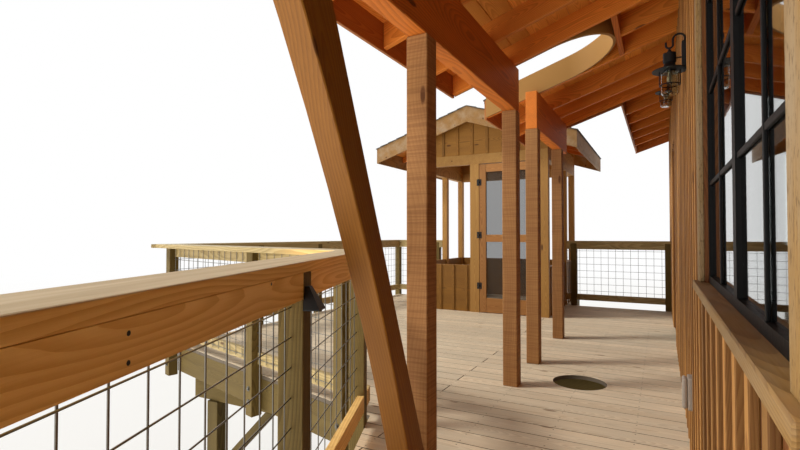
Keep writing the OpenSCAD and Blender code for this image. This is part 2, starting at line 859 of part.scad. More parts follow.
// Each pair of rafters meets in a plumb joint at the ridge
hut_run = hut_ridge_x - hut_eave_x;
hut_low_z = hut_z(hut_eave_x);
hut_top_z = hut_z(hut_ridge_x) - joint * pitch;
module hut_rafters() {
    span = hut_dep - 2 * hut_post_w;
    color("#c58748") on_site() for (i = [1 : 3], m = [0, 1]) {
        y = hut_y0 + hut_post_w + span * i / 4 - ply / 2;
        translate([hut_ridge_x, 0, 0]) mirror([m, 0, 0]) along_y(y, y + ply)
            polygon([[-hut_run, hut_low_z], [-joint, hut_top_z],
                [-joint, hut_top_z + hut_rafter_v - slack],
                [-hut_run, hut_low_z + hut_rafter_v - slack]]);
    }
}

module hut_roof_boards() {
    color("#d8a466") on_site()
        hut_layer(0, hut_roof_y0, hut_roof_y1, hut_rafter_v, hut_rafter_v + board_v - slack);
}

module hut_roofing() {
    color("#2b2b2c") on_site()
        hut_layer(fascia_t + drip, hut_roof_y0 - fascia_t - drip, hut_roof_y1 + fascia_t + drip,
            hut_rafter_v + board_v, hut_rafter_v + board_v + roofing_v);
}

hut_fascia_h = 220;
module hut_fascia() {
    v1 = hut_rafter_v + board_v - slack;
    z1 = hut_z(hut_eave_x) + v1 - fascia_t * pitch;
    z0 = z1 - hut_fascia_h;
    x1 = 2 * hut_ridge_x - hut_eave_x;
    color("#c79660") on_site() {
        for (y = [hut_roof_y0 - fascia_t, hut_roof_y1])
            hut_layer(fascia_t, y, y + fascia_t, v1 - hut_fascia_h, v1);
        block(hut_eave_x - fascia_t, hut_eave_x, hut_roof_y0, hut_roof_y1, z0, z1);
        block(x1, x1 + fascia_t, hut_roof_y0, hut_roof_y1, z0, z1);
    }
}

// The hut's door: stiles, rails and a screen, hung on three hinges
stile_w = 95;
mid_rail_z = [990, 1090];
foot_rail_h = 200;
head_rail_h = 110;
door_z1 = door_gap + door_h;
screen_t = 6;

module door_lights() {
    block(door_x0 + stile_w, door_x1 - stile_w, hut_y0 - 1, hut_y0 + door_t + 1,
        door_gap + foot_rail_h, mid_rail_z[0]);
    block(door_x0 + stile_w, door_x1 - stile_w, hut_y0 - 1, hut_y0 + door_t + 1,
        mid_rail_z[1], door_z1 - head_rail_h);
}

module hut_door() {
    color("#b0783e") on_site() difference() {
        block(door_x0, door_x1, hut_y0, hut_y0 + door_t, door_gap, door_z1);
        door_lights();
    }
}

module door_screen() {
    color("#30322f") on_site() intersection() {
        door_lights();
        block(door_x0, door_x1, hut_y0 + door_t / 2, hut_y0 + door_t / 2 + screen_t, 0,
            door_z1);
    }
}

// Butt hinges: knuckles in a row on one axis, each fused to its leaf
hinge_zs = [330, 1040, 1780];
hinge_h = 90;
knuckle_r = 7;
hinge_out = 9;
leaf_w = 22;
leaf_t = 3;
leaf_off = 12;
knuckle_gap = 0.5;

module knuckle(z0, z1) {
    translate([hinge_x, hut_y0 - hinge_out, z0]) cylinder(h = z1 - z0, r = knuckle_r, $fn = 32);
}

module hinge_leaf(side) {
    x = hinge_x + side * (leaf_off + leaf_w / 2);
    block(x - leaf_w / 2, x + leaf_w / 2, hut_y0 - leaf_t, hut_y0, 0, hinge_h);
}

module hinge_tab(side, z0, z1) {
    x = hinge_x + side * leaf_off / 2;
    block(x - leaf_off / 2, x + leaf_off / 2, hut_y0 - leaf_t, hut_y0 - leaf_t / 2, z0, z1);
}

module door_hinges() {
    color("#161616") on_site() for (z = hinge_zs) translate([0, 0, z]) {
        knuckle(hinge_h / 3 + knuckle_gap, 2 * hinge_h / 3 - knuckle_gap);
        hinge_leaf(1);
        hinge_tab(1, hinge_h / 3 + knuckle_gap, 2 * hinge_h / 3 - knuckle_gap);
    }
}

module jamb_hinges() {
    color("#161616") on_site() for (z = hinge_zs) translate([0, 0, z]) {
        knuckle(0, hinge_h / 3);
        knuckle(2 * hinge_h / 3, hinge_h);
        hinge_leaf(-1);
        hinge_tab(-1, 0, hinge_h / 3);
        hinge_tab(-1, 2 * hinge_h / 3, hinge_h);
    }
}

// A lantern hangs from a bent arm on the front wall: the arm rises off a back plate, turns over
// and hooks under the lantern's finial. A glass jar hangs below the disc shade. Heights are over
// the plate's middle.
lantern_places = [[2850, 1980], [4700, 2352]];
lantern_out = 86;
plate_size = [10, 55, 150];
arm_r = 5;
arm_z = 15;
arm_rise_x = -16;
bend_z = 114;
hook_r = 16;
hook_z = 89;
finial_z = 62;
shade_r = 82;
jar_r = 42;
jar_z1 = -50;
jar_z0 = -170;
jar_t = 3;

module at_lanterns() {
    for (p = lantern_places) translate([wall_x, p[0], p[1]]) children();
}

module arm_rod(x, z0, z1) {
    translate([x, 0, z0]) cylinder(h = z1 - z0, r = arm_r, $fn = 16);
}

// Half a turn of the arm in the plane square to the wall, above its centre or below it
module arm_turn(x, z, r, way) {
    translate([x, 0, z]) rotate([90 * way, 0, 0])
        rotate_extrude(angle = 180, $fn = 48) translate([r, 0]) circle(r = arm_r, $fn = 16);
}

module bent_arm() {
    drop_x = hook_r - lantern_out;
    bend_r = (arm_rise_x - drop_x) / 2;
    translate([arm_rise_x, 0, arm_z]) rotate([0, 90, 0])
        cylinder(h = -arm_rise_x - plate_size[0] / 2, r = arm_r, $fn = 16);
    arm_rod(arm_rise_x, arm_z - arm_r, bend_z);
    arm_turn(arm_rise_x - bend_r, bend_z, bend_r, 1);
    arm_rod(drop_x, hook_z, bend_z);
    arm_turn(-lantern_out, hook_z, hook_r, -1);
    arm_rod(-lantern_out - hook_r, hook_z, hook_z + hook_r);
    arm_rod(-lantern_out, finial_z - arm_r, hook_z - hook_r);
}

module lanterns() {
    color("#1a1918") on_site() at_lanterns() {
        translate([-plate_size[0], -plate_size[1] / 2, -plate_size[2] / 2]) cube(plate_size);
        bent_arm();
        translate([-lantern_out, 0, 0]) rotate_extrude($fn = 48)
            polygon([[0, jar_z1], [28, jar_z1], [28, -45], [shade_r, -46], [shade_r, -42],
                [34, -30], [24, -6], [30, 0], [30, 46], [12, 52], [8, finial_z], [0, finial_z]]);
    }
}

module lantern_jars() {
    color("#c9d6d4") on_site() at_lanterns() translate([-lantern_out, 0, 0])
        rotate_extrude($fn = 48) polygon([[24, jar_z1], [jar_r, jar_z1 - 8],
            [jar_r, jar_z0 + 10], [jar_r - 8, jar_z0], [0, jar_z0], [0, jar_z0 + jar_t],
            [jar_r - 8 - jar_t / 2, jar_z0 + jar_t], [jar_r - jar_t, jar_z0 + 11],
            [jar_r - jar_t, jar_z1 - 11], [24, jar_z1 - jar_t]]);
}

module outlet_cover() {
    color("#8b8a86") on_site() block(wall_x - 55, wall_x, 2585, 2665, 280, 430);
}

// A hooded light on the inner face of a rail post, wider and deeper at its foot
module rail_light() {
    z0 = rail_z - 165;
    color("#141414") on_site() near_run() translate([near_posts[2] - 15, slack, z0])
        intersection() {
            rotate([90, 0, 0]) linear_extrude(60)
                polygon([[-37, 0], [37, 0], [37, 4], [16, 80], [-16, 80], [-37, 4]]);
            rotate([90, 0, 90]) translate([0, 0, -40]) linear_extrude(80)
                polygon([[0, 0], [-58, 0], [-58, 4], [-16, 80], [0, 80]]);
        }
}

support_posts();
knee_braces();
deck_beams();
deck_joists();
hole_headers();
rim_joists();
deck_floor();
cabin_floor();
front_wall();
back_wall();
near_end_wall();
far_end_wall();
wall_trim();
window_frames();
window_glass();
window_sills();
cabin_door();
ridge_beam();
rafters();
slot_header();
slot_lining();
front_roof_boards();
back_roof_boards();
front_roofing();
back_roofing();
eave_fascia();
rake_boards();
porch_beams();
porch_posts();
leaning_strut();
rail_posts();
rail_caps();
top_rails();
bottom_rails();
near_wires();
side_wires();
end_wires();
hut_posts();
hut_plates();
hut_panels();
hut_gables();
hut_rafters();
hut_roof_boards();
hut_roofing();
hut_fascia();
hut_door();
door_screen();
door_hinges();
jamb_hinges();
lanterns();
lantern_jars();
outlet_cover();
rail_light();
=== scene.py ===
import math
import random

import bmesh
import bpy
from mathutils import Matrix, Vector


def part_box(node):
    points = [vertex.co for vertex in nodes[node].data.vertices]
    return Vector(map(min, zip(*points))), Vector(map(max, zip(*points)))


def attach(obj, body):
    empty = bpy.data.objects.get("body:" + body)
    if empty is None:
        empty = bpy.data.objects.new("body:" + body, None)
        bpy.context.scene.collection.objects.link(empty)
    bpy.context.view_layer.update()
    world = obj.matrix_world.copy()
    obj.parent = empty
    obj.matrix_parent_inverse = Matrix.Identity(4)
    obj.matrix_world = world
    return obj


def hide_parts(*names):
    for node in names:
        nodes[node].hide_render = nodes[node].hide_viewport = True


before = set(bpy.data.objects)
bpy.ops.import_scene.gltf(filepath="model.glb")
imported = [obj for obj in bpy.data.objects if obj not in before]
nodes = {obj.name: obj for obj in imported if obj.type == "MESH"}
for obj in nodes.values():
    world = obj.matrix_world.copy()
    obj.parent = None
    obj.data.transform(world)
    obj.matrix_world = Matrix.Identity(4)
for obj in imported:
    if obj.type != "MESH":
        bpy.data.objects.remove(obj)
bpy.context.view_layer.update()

chance = random.Random(17)

# The deck's datum in the row frame. Places below are given from it: x towards the cabin, y along
# its front wall, z over the deck boards, all in metres.
DATUM = Vector((-0.476, -3.275, 3.0))

# Cabin, with its roof's run for each unit of rise and plumb depths of the roof's layers
SLOPE_RUN = 3
SLOPE = math.atan(1 / SLOPE_RUN)
WALL_X, WALL_BACK = 0.133, 4.883
NEAR_Y, FAR_Y = -1.95, 8.5
RIDGE_X = (WALL_X + WALL_BACK) / 2
WALL_TOP = 2.66
RAFTER_V, BOARD_V, ROOFING_V = 0.14757, 0.021, 0.014
PORCH_EAVE_X, SHORT_EAVE_X = -1.39, -0.35
BACK_EAVE_X = 2 * RIDGE_X - SHORT_EAVE_X
PORCH_Y0, PORCH_Y1 = 0.15, 5.65
ROOF_Y0, ROOF_Y1 = NEAR_Y - 0.6, FAR_Y + 0.6
RIDGE_V = WALL_TOP + (RIDGE_X - WALL_X) / SLOPE_RUN + RAFTER_V
SLOT_Y, SLOT_R = 3.84, 0.39
COURSE, TAB_W, ROOF_BOARD_W = 0.1375, 0.30, 0.1395
DRIP_T, DRIP_H, DRIP_OUT = 0.0016, 0.032, 0.0205

# Windows, the cabin's door, casings and battens
WINDOW_W, SILL_Z, HEAD_Z, TRIM_W = 1.35, 0.92, 2.235, 0.095
FRAME_W, MULLION_W, GLASS_IN = 0.025, 0.05, 0.022
BAR_W, BAR_T = 0.014, 0.007
FRONT_WINDOWS, BACK_WINDOWS, END_WINDOWS = (-0.350, 1.314), (-0.4, 2.2, 4.3, 6.9), (1.5, 3.5)
CABIN_DOOR_HOLE = (5.56, 6.48, 0.0, 2.062)
BATTEN_W, BATTEN_T, BATTEN_PITCH = 0.045, 0.0155, 0.16
BATTEN_TOP = WALL_TOP - 0.012

# Hut
HUT_X0, HUT_X1, HUT_Y0, HUT_Y1 = -3.4, -1.3, 6.5, 8.7
HUT_RIDGE_X = (HUT_X0 + HUT_X1) / 2
HUT_TOP, HUT_RAFTER_V, HUT_EAVE, HUT_RAKE = 2.407, 0.095, 0.375, 0.24
HUT_POST_W = 0.09
HUT_BATTEN_W, HUT_BATTEN_T = 0.038, 0.014
FRONT_PANEL_X1, BACK_POST_X = -2.3845, (-2.395, -2.305)
DOOR_X0, DOOR_W, DOOR_T, DOOR_Z0, DOOR_Z1 = -2.2455, 0.79, 0.038, 0.008, 2.078
STILE_W, FOOT_RAIL_H, HEAD_RAIL_H, MID_RAIL = 0.095, 0.2, 0.11, (0.99, 1.09)

# Railing: the corners of the deck, then its runs in turn and the posts along each
PLY, CAP_W, RAIL_Z, LOW_RAIL_Z = 0.038, 0.184, 0.995, 0.09
POST_HALF = 0.0445
WIRE_PITCH, WIRE_R = 0.1016, 0.0023
TIP_Y, CORNER_Y, DECK_Y1 = -1.2, 2.49, 7.86
EDGE_P, EDGE_NX = 0.504, 0.927
EDGE_NY = math.sqrt(1 - EDGE_NX ** 2)
EDGE_A = (-(EDGE_P + EDGE_NY * TIP_Y) / EDGE_NX, TIP_Y)
EDGE_B = (-(EDGE_P + EDGE_NY * CORNER_Y) / EDGE_NX, CORNER_Y)
EDGE_C = (-4.262, 3.215)
EDGE_D = (EDGE_C[0], DECK_Y1)
RUNS = [((WALL_X, TIP_Y), EDGE_A), (EDGE_A, EDGE_B), (EDGE_B, EDGE_C), (EDGE_C, EDGE_D),
        (EDGE_D, (HUT_X0, DECK_Y1)), ((HUT_X1, DECK_Y1), (WALL_X, DECK_Y1))]
NEAR_LEN = math.dist(EDGE_A, EDGE_B)
FRONT_LEN = math.dist(EDGE_B, EDGE_C)
LEFT_LEN = DECK_Y1 - EDGE_C[1]
BAY = 0.06
POSTS = [[], [POST_HALF, 0.7, 2.72, NEAR_LEN - 0.15], [0.2, 1.269, FRONT_LEN + POST_HALF],
         [1.14, 2.29, 3.44, LEFT_LEN + POST_HALF], [HUT_X0 - BAY - EDGE_D[0] - POST_HALF],
         [BAY + POST_HALF, WALL_X - HUT_X1 - POST_HALF]]
WIRE_ENDS = {1: (0.0, NEAR_LEN - 0.025), 2: (0.025, FRONT_LEN), 3: (0.028, LEFT_LEN)}
RAIL_SCREWS = [(1.795, 0.932), (1.795, 0.886), (2.387, 0.949), (0.98, 0.93), (0.98, 0.885)]

# Deck boards, from the first one's edge, and the joists under their screws
DECK_PITCH, DECK_BOARD_W, DECK_Y0 = 0.1445, 0.140, TIP_Y - 0.020
DECK_X0, DECK_X1, DECK_JOINTS = -4.45, 0.30, (-1.352, -2.976)
JOIST_PITCH, JOIST_X = 0.406, -0.337

# Lanterns along the front wall, as y and z
LANTERNS = [(2.85, 1.98), (4.70, 2.352)]
LANTERN_OUT, CAGE_R = 0.086, 0.047

# The camera's height over the deck, and its tilt and turn in degrees
EYE_Z, EYE_TILT, EYE_TURN = 1.085, 91.19, 28.4


# Shader maths

class Signal:
    """A socket of a material, which plain arithmetic joins to others."""

    def __init__(self, paint, socket):
        self.paint = paint
        self.socket = socket

    def __add__(self, other):
        return self.paint.maths("ADD", self, other)

    def __sub__(self, other):
        return self.paint.maths("SUBTRACT", self, other)

    def __rsub__(self, other):
        return self.paint.maths("SUBTRACT", other, self)

    def __mul__(self, other):
        return self.paint.maths("MULTIPLY", self, other)

    def __truediv__(self, other):
        return self.paint.maths("DIVIDE", self, other)

    def __rtruediv__(self, other):
        return self.paint.maths("DIVIDE", other, self)

    __radd__ = __add__
    __rmul__ = __mul__


def tone(code):
    """A screen colour such as "#c98f4e" as linear light."""
    parts = [int(code[i:i + 2], 16) / 255 for i in (1, 3, 5)]
    return tuple(p / 12.92 if p < 0.04045 else ((p + 0.055) / 1.055) ** 2.4 for p in parts) + (1,)


class Paint:
    """A material being mixed, with its Principled shader."""

    def __init__(self, name, **constants):
        self.material = bpy.data.materials.new(name)
        self.material.use_nodes = True
        self.tree = self.material.node_tree
        self.shader = self.tree.nodes["Principled BSDF"]
        self.give(**{key.replace("_", " "): value for key, value in constants.items()})

    def feed(self, socket, value):
        if isinstance(value, Signal):
            self.tree.links.new(value.socket, socket)
        else:
            socket.default_value = value

    def give(self, **sockets):
        for key, value in sockets.items():
            self.feed(self.shader.inputs[key.replace("_", " ")], value)

    def node(self, kind, settings=None, sockets=None, out=0):
        """A node of that kind, its settings first, then its sockets by name or number."""
        made = self.tree.nodes.new("ShaderNode" + kind)
        for key, value in (settings or {}).items():
            setattr(made, key, value)
        for key, value in (sockets or {}).items():
            self.feed(made.inputs[key], value)
        return Signal(self, made.outputs[out])

    def maths(self, operation, first, second=0.0):
        return self.node("Math", {"operation": operation}, {0: first, 1: second})

    def clamp(self, value):
        return self.node("Clamp", None, {0: value})

    def step(self, value, low, high):
        """0 below low, 1 over high, smooth between."""
        return self.node("MapRange", {"interpolation_type": "SMOOTHSTEP"},
                         {0: value, 1: low, 2: high})

    def mix(self, factor, first, second, blend="MIX"):
        return self.node("Mix", {"data_type": "RGBA", "blend_type": blend},
                         {0: factor, 6: first, 7: second}, out=2)

    def place(self):
        return self.node("TexCoord", out=3)

    def stretch(self, vector, by):
        return self.node("VectorMath", {"operation": "MULTIPLY"}, {0: vector, 1: by})

    def shift(self, vector, by):
        return self.node("VectorMath", {"operation": "ADD"}, {0: vector, 1: by})

    def parts(self, vector):
        split = self.node("SeparateXYZ", None, {0: vector})
        return [Signal(self, s) for s in split.socket.node.outputs]

    def joined(self, x, y, z):
        return self.node("CombineXYZ", None, {0: x, 1: y, 2: z})

    def noise(self, vector, scale=1.0, detail=2.0, rough=0.5):
        return self.node("TexNoise", None, {"Vector": vector, "Scale": scale, "Detail": detail,
                                            "Roughness": rough})

    def chance(self, value):
        return self.node("TexWhiteNoise", {"noise_dimensions": "1D"}, {"W": value})

    def bump(self, height, distance):
        normal = self.node("Bump", None, {"Strength": 1.0, "Distance": distance,
                                          "Height": height})
        self.give(Normal=normal)


def figure(paint, at, gap):
    """Growth rings, fibre and knots of a board, at its own coordinates: x runs along the grain
    and the pith lies a little way off along z."""
    sway = paint.node("TexNoise", None, {"Vector": paint.stretch(at, (0.8, 0.4, 0.4)),
                                         "Scale": 1.0, "Detail": 1.0}, out=1)
    sway = paint.parts(paint.stretch(paint.shift(sway, (-0.5, -0.5, -0.5)), (0, 0.12, 0.26)))
    near = paint.node("TexVoronoi", None, {"Vector": paint.stretch(at, (1.9, 6.0, 6.0)),
                                           "Scale": 1.0})
    _, across, through = paint.parts(at)
    side, deep = across + sway[1], through + sway[2]
    radius = paint.maths("SQRT", side * side + deep * deep)
    radius = radius + 0.0016 / (near + 0.06)
    ripple = paint.noise(paint.stretch(at, (3.0, 22.0, 22.0)), detail=2.0)
    turn_count = radius / gap + ripple * 0.9
    late = paint.maths("FRACT", turn_count)
    rings = paint.step(late, 0.15, 0.95) * (1 - paint.step(late, 0.95, 1.0))
    fibre = paint.noise(paint.stretch(at, (5.0, 260.0, 260.0)), detail=3.0, rough=0.6)
    knot = 1 - paint.step(near, 0.055, 0.10)
    return rings, fibre, knot


def timber(name, pale, deep, knot_tone="#4a2409", sawn=0.0, vary=0.34, rough=0.62, ring=0.5,
           grey=0.0, board=None, sun_z=None, dark_z=None, gap=0.0055, nails=None,
           weather=None, flanks=None, specks=0.0):
    """A wood finish. Members carry their own grain coordinates, unless board gives the node's
    own layout: the axis along the grain, those across it, and the board's width. Growth rings
    are a gap apart. Sawn, ring, grey and specks say how strongly saw marks, rings, grey wear and
    small dark flecks show, and vary how far members differ in tone. Faces at the height sun_z are
    weathered pale, and faces under dark_z get painted shade, as in the gaps between boards.
    Screws show as dark dots in rows, where nails gives their pitch and first place in x and y.
    The y in weather marks where the porch roof stops shading the wood, and its pale and
    deep tones are used past it; short of it the finish's own brighter, warmer tones are painted
    bounce light in the porch's shade. Faces that look along the axis flanks get painted
    shade, as on the sides of battens."""
    paint = Paint(name, Specular_IOR_Level=0.25)
    if board:
        along, across, width = board
        xyz = paint.parts(paint.place())
        face = sum((xyz[i] for i in across[1:]), xyz[across[0]])
        number = paint.maths("FLOOR", face / width)
        member = paint.chance(number)
        across_board = (face / width - number - 0.5) * width
        at = paint.joined(xyz[along] + member * 23.0, across_board, member * 0.03 + 0.05)
    else:
        at = paint.node("Attribute", {"attribute_name": "grain"}, out=1)
        member = paint.node("Attribute", {"attribute_name": "member"}, out=2)
    rings, fibre, knot = figure(paint, at, gap)
    streak = paint.noise(paint.stretch(at, (0.9, 14.0, 14.0)), detail=3.0)
    shade = paint.clamp(rings * ring + fibre * 0.5 + streak * 0.7 - 0.42)
    pale, deep = tone(pale), tone(deep)
    # Painted light: short of the porch's edge the finish keeps its brighter, warmer tones as bounce
    # light in the porch's shade
    if weather:
        out = paint.step(paint.parts(paint.place())[1], weather[0] - 0.1, weather[0] + 0.1)
        pale = paint.mix(out, pale, tone(weather[1]))
        deep = paint.mix(out, deep, tone(weather[2]))
    colour = paint.mix(shade, pale, deep)
    colour = paint.mix(knot * 0.85, colour, tone(knot_tone))
    light = member * vary + (1 - vary * 0.5)
    colour = paint.mix(1.0, colour, paint.joined(light, light, light), "MULTIPLY")
    if grey:
        worn = paint.noise(paint.stretch(at, (2.0, 9.0, 9.0)), detail=4.0, rough=0.65)
        colour = paint.mix(paint.step(worn, 0.35, 0.75) * grey, colour, tone("#b3ab98"))
    if specks:
        spot = paint.noise(paint.stretch(at, (55.0, 130.0, 130.0)), detail=3.0, rough=0.7)
        colour = paint.mix(paint.step(spot, 0.52, 0.66) * specks, colour, tone("#5d4526"))
    if sun_z:
        top = paint.step(paint.parts(paint.place())[2], sun_z - 0.004, sun_z - 0.001)
        worn = paint.noise(paint.stretch(at, (1.2, 26.0, 26.0)), detail=4.0, rough=0.6)
        bleached = paint.mix(paint.clamp(worn * 1.5 - 0.3), tone("#9c8a66"), tone("#d3c7a8"))
        colour = paint.mix(top * 0.92, colour, bleached)
    # Painted shade: faces turned along one axis, the sides of battens, are darkened
    if flanks is not None:
        facing = paint.maths("ABSOLUTE", paint.parts(paint.node("TexCoord", out=1))[flanks])
        colour = paint.mix(paint.step(facing, 0.5, 0.8) * 0.62, colour, tone("#5a3518"))
    # Painted shade: faces just below the deck's top, the boards' sides in the gaps, are darkened
    if dark_z:
        gap_shade_mask = 1 - paint.step(paint.parts(paint.place())[2], dark_z - 0.0008, dark_z)
        colour = paint.mix(gap_shade_mask * 0.85, colour, tone("#33261a"))
    if nails:
        pitch_x, from_x, pitch_y, from_y = nails
        x, y, _ = paint.parts(paint.place())
        across_x = (paint.maths("FRACT", (x - from_x) / pitch_x) - 0.5) * pitch_x
        row = paint.maths("FRACT", (y - from_y) / pitch_y) * pitch_y
        across_y = paint.maths("ABSOLUTE", row - DECK_BOARD_W / 2) - 0.045
        away = paint.maths("SQRT", across_x * across_x + across_y * across_y)
        colour = paint.mix((1 - paint.step(away, 0.0035, 0.0050)) * 0.85, colour, tone("#2e241a"))
    height = fibre * 0.5 + rings * 0.25 - knot * 0.3
    if sawn:
        saw = paint.noise(paint.stretch(at, (115.0, 2.5, 2.5)), detail=1.5)
        height = height + saw * (1.8 * sawn)
        bands = paint.step(saw, 0.42, 0.62) * (0.42 * sawn)
        colour = paint.mix(bands, colour, deep)
    paint.bump(height, 0.0009)
    paint.give(Base_Color=colour, Roughness=fibre * 0.2 + (rough - 0.1))
    return paint.material


def plain(name, colour, rough, metallic=0.0, grain=90.0, vary=0.25, depth=0.0004, **constants):
    """A painted, metal or plastic finish with a fine mottle."""
    paint = Paint(name, Metallic=metallic, **constants)
    spots = paint.noise(paint.place(), scale=grain, detail=3.0, rough=0.6)
    broad = paint.noise(paint.place(), scale=3.0, detail=2.0)
    base = tone(colour)
    pale = tuple(min(1, c * (1 + vary) + 0.004) for c in base[:3]) + (1,)
    dark = tuple(c * (1 - vary) for c in base[:3]) + (1,)
    paint.give(Base_Color=paint.mix(paint.clamp(spots * 0.6 + broad * 0.4), dark, pale),
               Roughness=spots * 0.18 + (rough - 0.09))
    paint.bump(spots, depth)
    return paint.material


def window_pane(name):
    """Clear glass with a faint smear."""
    paint = Paint(name, Roughness=0.015, IOR=1.5, Transmission_Weight=1.0)
    smear = paint.noise(paint.place(), scale=6.0, detail=3.0)
    paint.give(Base_Color=paint.mix(smear, tone("#e9f0ee"), tone("#dfe8e5")))
    return paint.material


def shingles(name):
    """Mineral granules on tabs cut in each course."""
    paint = Paint(name)
    x, y, _ = paint.parts(paint.place())
    course = paint.maths("FLOOR", paint.maths("ABSOLUTE", x - (RIDGE_X + DATUM.x)) / COURSE)
    along = y / TAB_W + course * 0.5
    tab = paint.maths("FLOOR", along)
    edge = paint.maths("ABSOLUTE", paint.maths("FRACT", along) - 0.5)
    slit = paint.step(edge, 0.482, 0.492)
    grit = paint.noise(paint.place(), scale=650.0, detail=2.0, rough=0.7)
    patch = paint.chance(tab + course * 7.3)
    colour = paint.mix(paint.clamp(grit * 0.75 + patch * 0.35), tone("#232324"), tone("#5b5a58"))
    colour = paint.mix(slit, colour, tone("#0f0f10"))
    paint.give(Base_Color=colour, Roughness=grit * 0.1 + 0.85)
    paint.bump(grit * 0.6 - slit * 2.0, 0.0015)
    return paint.material


# The near rails take these tones past the porch roof; under it their brighter, warmer tones are
# painted bounce light in the porch's shade
PAST_PORCH_SHADE = (DATUM.y + 2.45, "#b9a372", "#8c7747")

finishes = {}


def prepare(make, name, *given, **look):
    finishes[name] = make(name, *given, **look)


prepare(timber, "oiled_beam", "#e2822d", "#ad5a17", sawn=0.2, rough=0.6, gap=0.010)
prepare(timber, "rafter_board", "#ec9238", "#bb671b", rough=0.6, gap=0.008)
prepare(timber, "sawn_post", "#a97a48", "#7a4f2c", sawn=1.0, rough=0.75, ring=0.2, gap=0.013)
prepare(timber, "strut_timber", "#a16a22", "#744512", rough=0.58, ring=0.35, gap=0.013)
# The slot lining is toned darker than the beams as painted shade inside the slot
prepare(timber, "lining_board", "#b58645", "#8a5c26", rough=0.6)
prepare(timber, "roof_board", "#f5a94e", "#cb7b2a", rough=0.6, vary=0.4)
prepare(timber, "fascia_board", "#b7753a", "#88501f", rough=0.6)
prepare(timber, "treated_post", "#705d2e", "#483816", "#2c220d", sawn=0.2, rough=0.75, gap=0.008)
# These bright, warm rail and cap tones are painted bounce light in the porch's shade
prepare(timber, "rail_board", "#fbd488", "#d6a252", rough=0.6, ring=0.55, vary=0.12, gap=0.013,
        weather=PAST_PORCH_SHADE)
prepare(timber, "cap_board", "#fbd488", "#d6a252", rough=0.65, ring=0.55, vary=0.08, gap=0.013,
        sun_z=DATUM.z + RAIL_Z, weather=PAST_PORCH_SHADE)
# The deck boards' sides below the top carry painted shade in the gaps
prepare(timber, "deck_board", "#ddcdb2", "#b7a182", "#6b4a2a", rough=0.7, grey=0.4, vary=0.22,
        dark_z=DATUM.z - 0.0005,
        nails=(JOIST_PITCH, DATUM.x + JOIST_X, DECK_PITCH, DATUM.y + DECK_Y0))
prepare(timber, "cedar_trim", "#a4814a", "#7b592c", rough=0.65, vary=0.2, grey=0.4, specks=0.6)
prepare(timber, "sill_board", "#a07c44", "#775529", rough=0.65, vary=0.2, grey=0.3)
# The battens' side faces carry painted shade
prepare(timber, "long_batten", "#cd9853", "#96602b", rough=0.6, vary=0.8, flanks=1)
prepare(timber, "end_batten", "#cd9853", "#96602b", rough=0.6, vary=0.8, flanks=0)
prepare(timber, "hut_board", "#966928", "#694216", rough=0.6, vary=0.4)
prepare(timber, "hut_trim", "#b98c49", "#8e612e", rough=0.6, vary=0.25)
prepare(timber, "hut_edge", "#98713f", "#6f4f29", rough=0.65, vary=0.2, grey=0.3)
prepare(timber, "door_board", "#ae7a42", "#85552a", rough=0.6, vary=0.3)
# The siding boards are toned darker than the battens as painted shade between them
prepare(timber, "siding_board", "#7d4c24", "#573113", rough=0.62, vary=0.5,
        board=(2, (0, 1), BATTEN_PITCH))
prepare(timber, "floor_board", "#b98a58", "#8c5c30", rough=0.5, board=(1, (0,), 0.09))
prepare(plain, "black_frame", "#060606", 0.5, Specular_IOR_Level=0.15)
prepare(plain, "black_iron", "#0d0d0d", 0.5, grain=300.0, Specular_IOR_Level=0.3)
prepare(plain, "dull_zinc", "#77746d", 0.45, metallic=1.0, grain=120.0)
prepare(plain, "grey_plastic", "#b9b0a3", 0.5)
prepare(plain, "screen_cloth", "#1c1d19", 0.8, grain=500.0, Alpha=0.5)
prepare(window_pane, "window_pane")
prepare(plain, "lamp_glass", "#e3cfa0", 0.3, grain=20.0, vary=0.05)
prepare(shingles, "shingle")


# Modelling

def deselect():
    bpy.ops.object.select_all(action="DESELECT")


def activate(piece):
    deselect()
    piece.select_set(True)
    bpy.context.view_layer.objects.active = piece


def settled(piece):
    """Applies the piece's place, turn and size to its mesh."""
    activate(piece)
    bpy.ops.object.transform_apply(location=True, rotation=True, scale=True)
    return piece


def cuboid(name, low, high):
    """A cuboid between two corners given from the deck's datum."""
    deselect()
    low, high = Vector(low), Vector(high)
    bpy.ops.mesh.primitive_cube_add(size=1, location=(low + high) / 2 + DATUM)
    piece = bpy.context.object
    piece.name = name
    piece.scale = high - low
    return settled(piece)


def rod(name, start, end, radius, sides=8):
    """A round rod between two points given from the deck's datum."""
    deselect()
    start, end = Vector(start) + DATUM, Vector(end) + DATUM
    bpy.ops.mesh.primitive_cylinder_add(
        vertices=sides, radius=radius, depth=(end - start).length, location=(start + end) / 2,
        rotation=(end - start).to_track_quat("Z", "Y").to_euler())
    piece = bpy.context.object
    piece.name = name
    if sides > 6:
        bpy.ops.object.shade_smooth_by_angle(angle=math.radians(50))
    return settled(piece)


def turned(piece, angle, axis, pivot):
    """Turns the piece right-handed about an axis through a point given from the datum."""
    activate(piece)
    bpy.ops.object.mode_set(mode="EDIT")
    bpy.ops.mesh.select_all(action="SELECT")
    bpy.ops.transform.rotate(value=-angle, orient_axis=axis, orient_type="GLOBAL",
                             center_override=Vector(pivot) + DATUM)
    bpy.ops.object.mode_set(mode="OBJECT")
    return piece


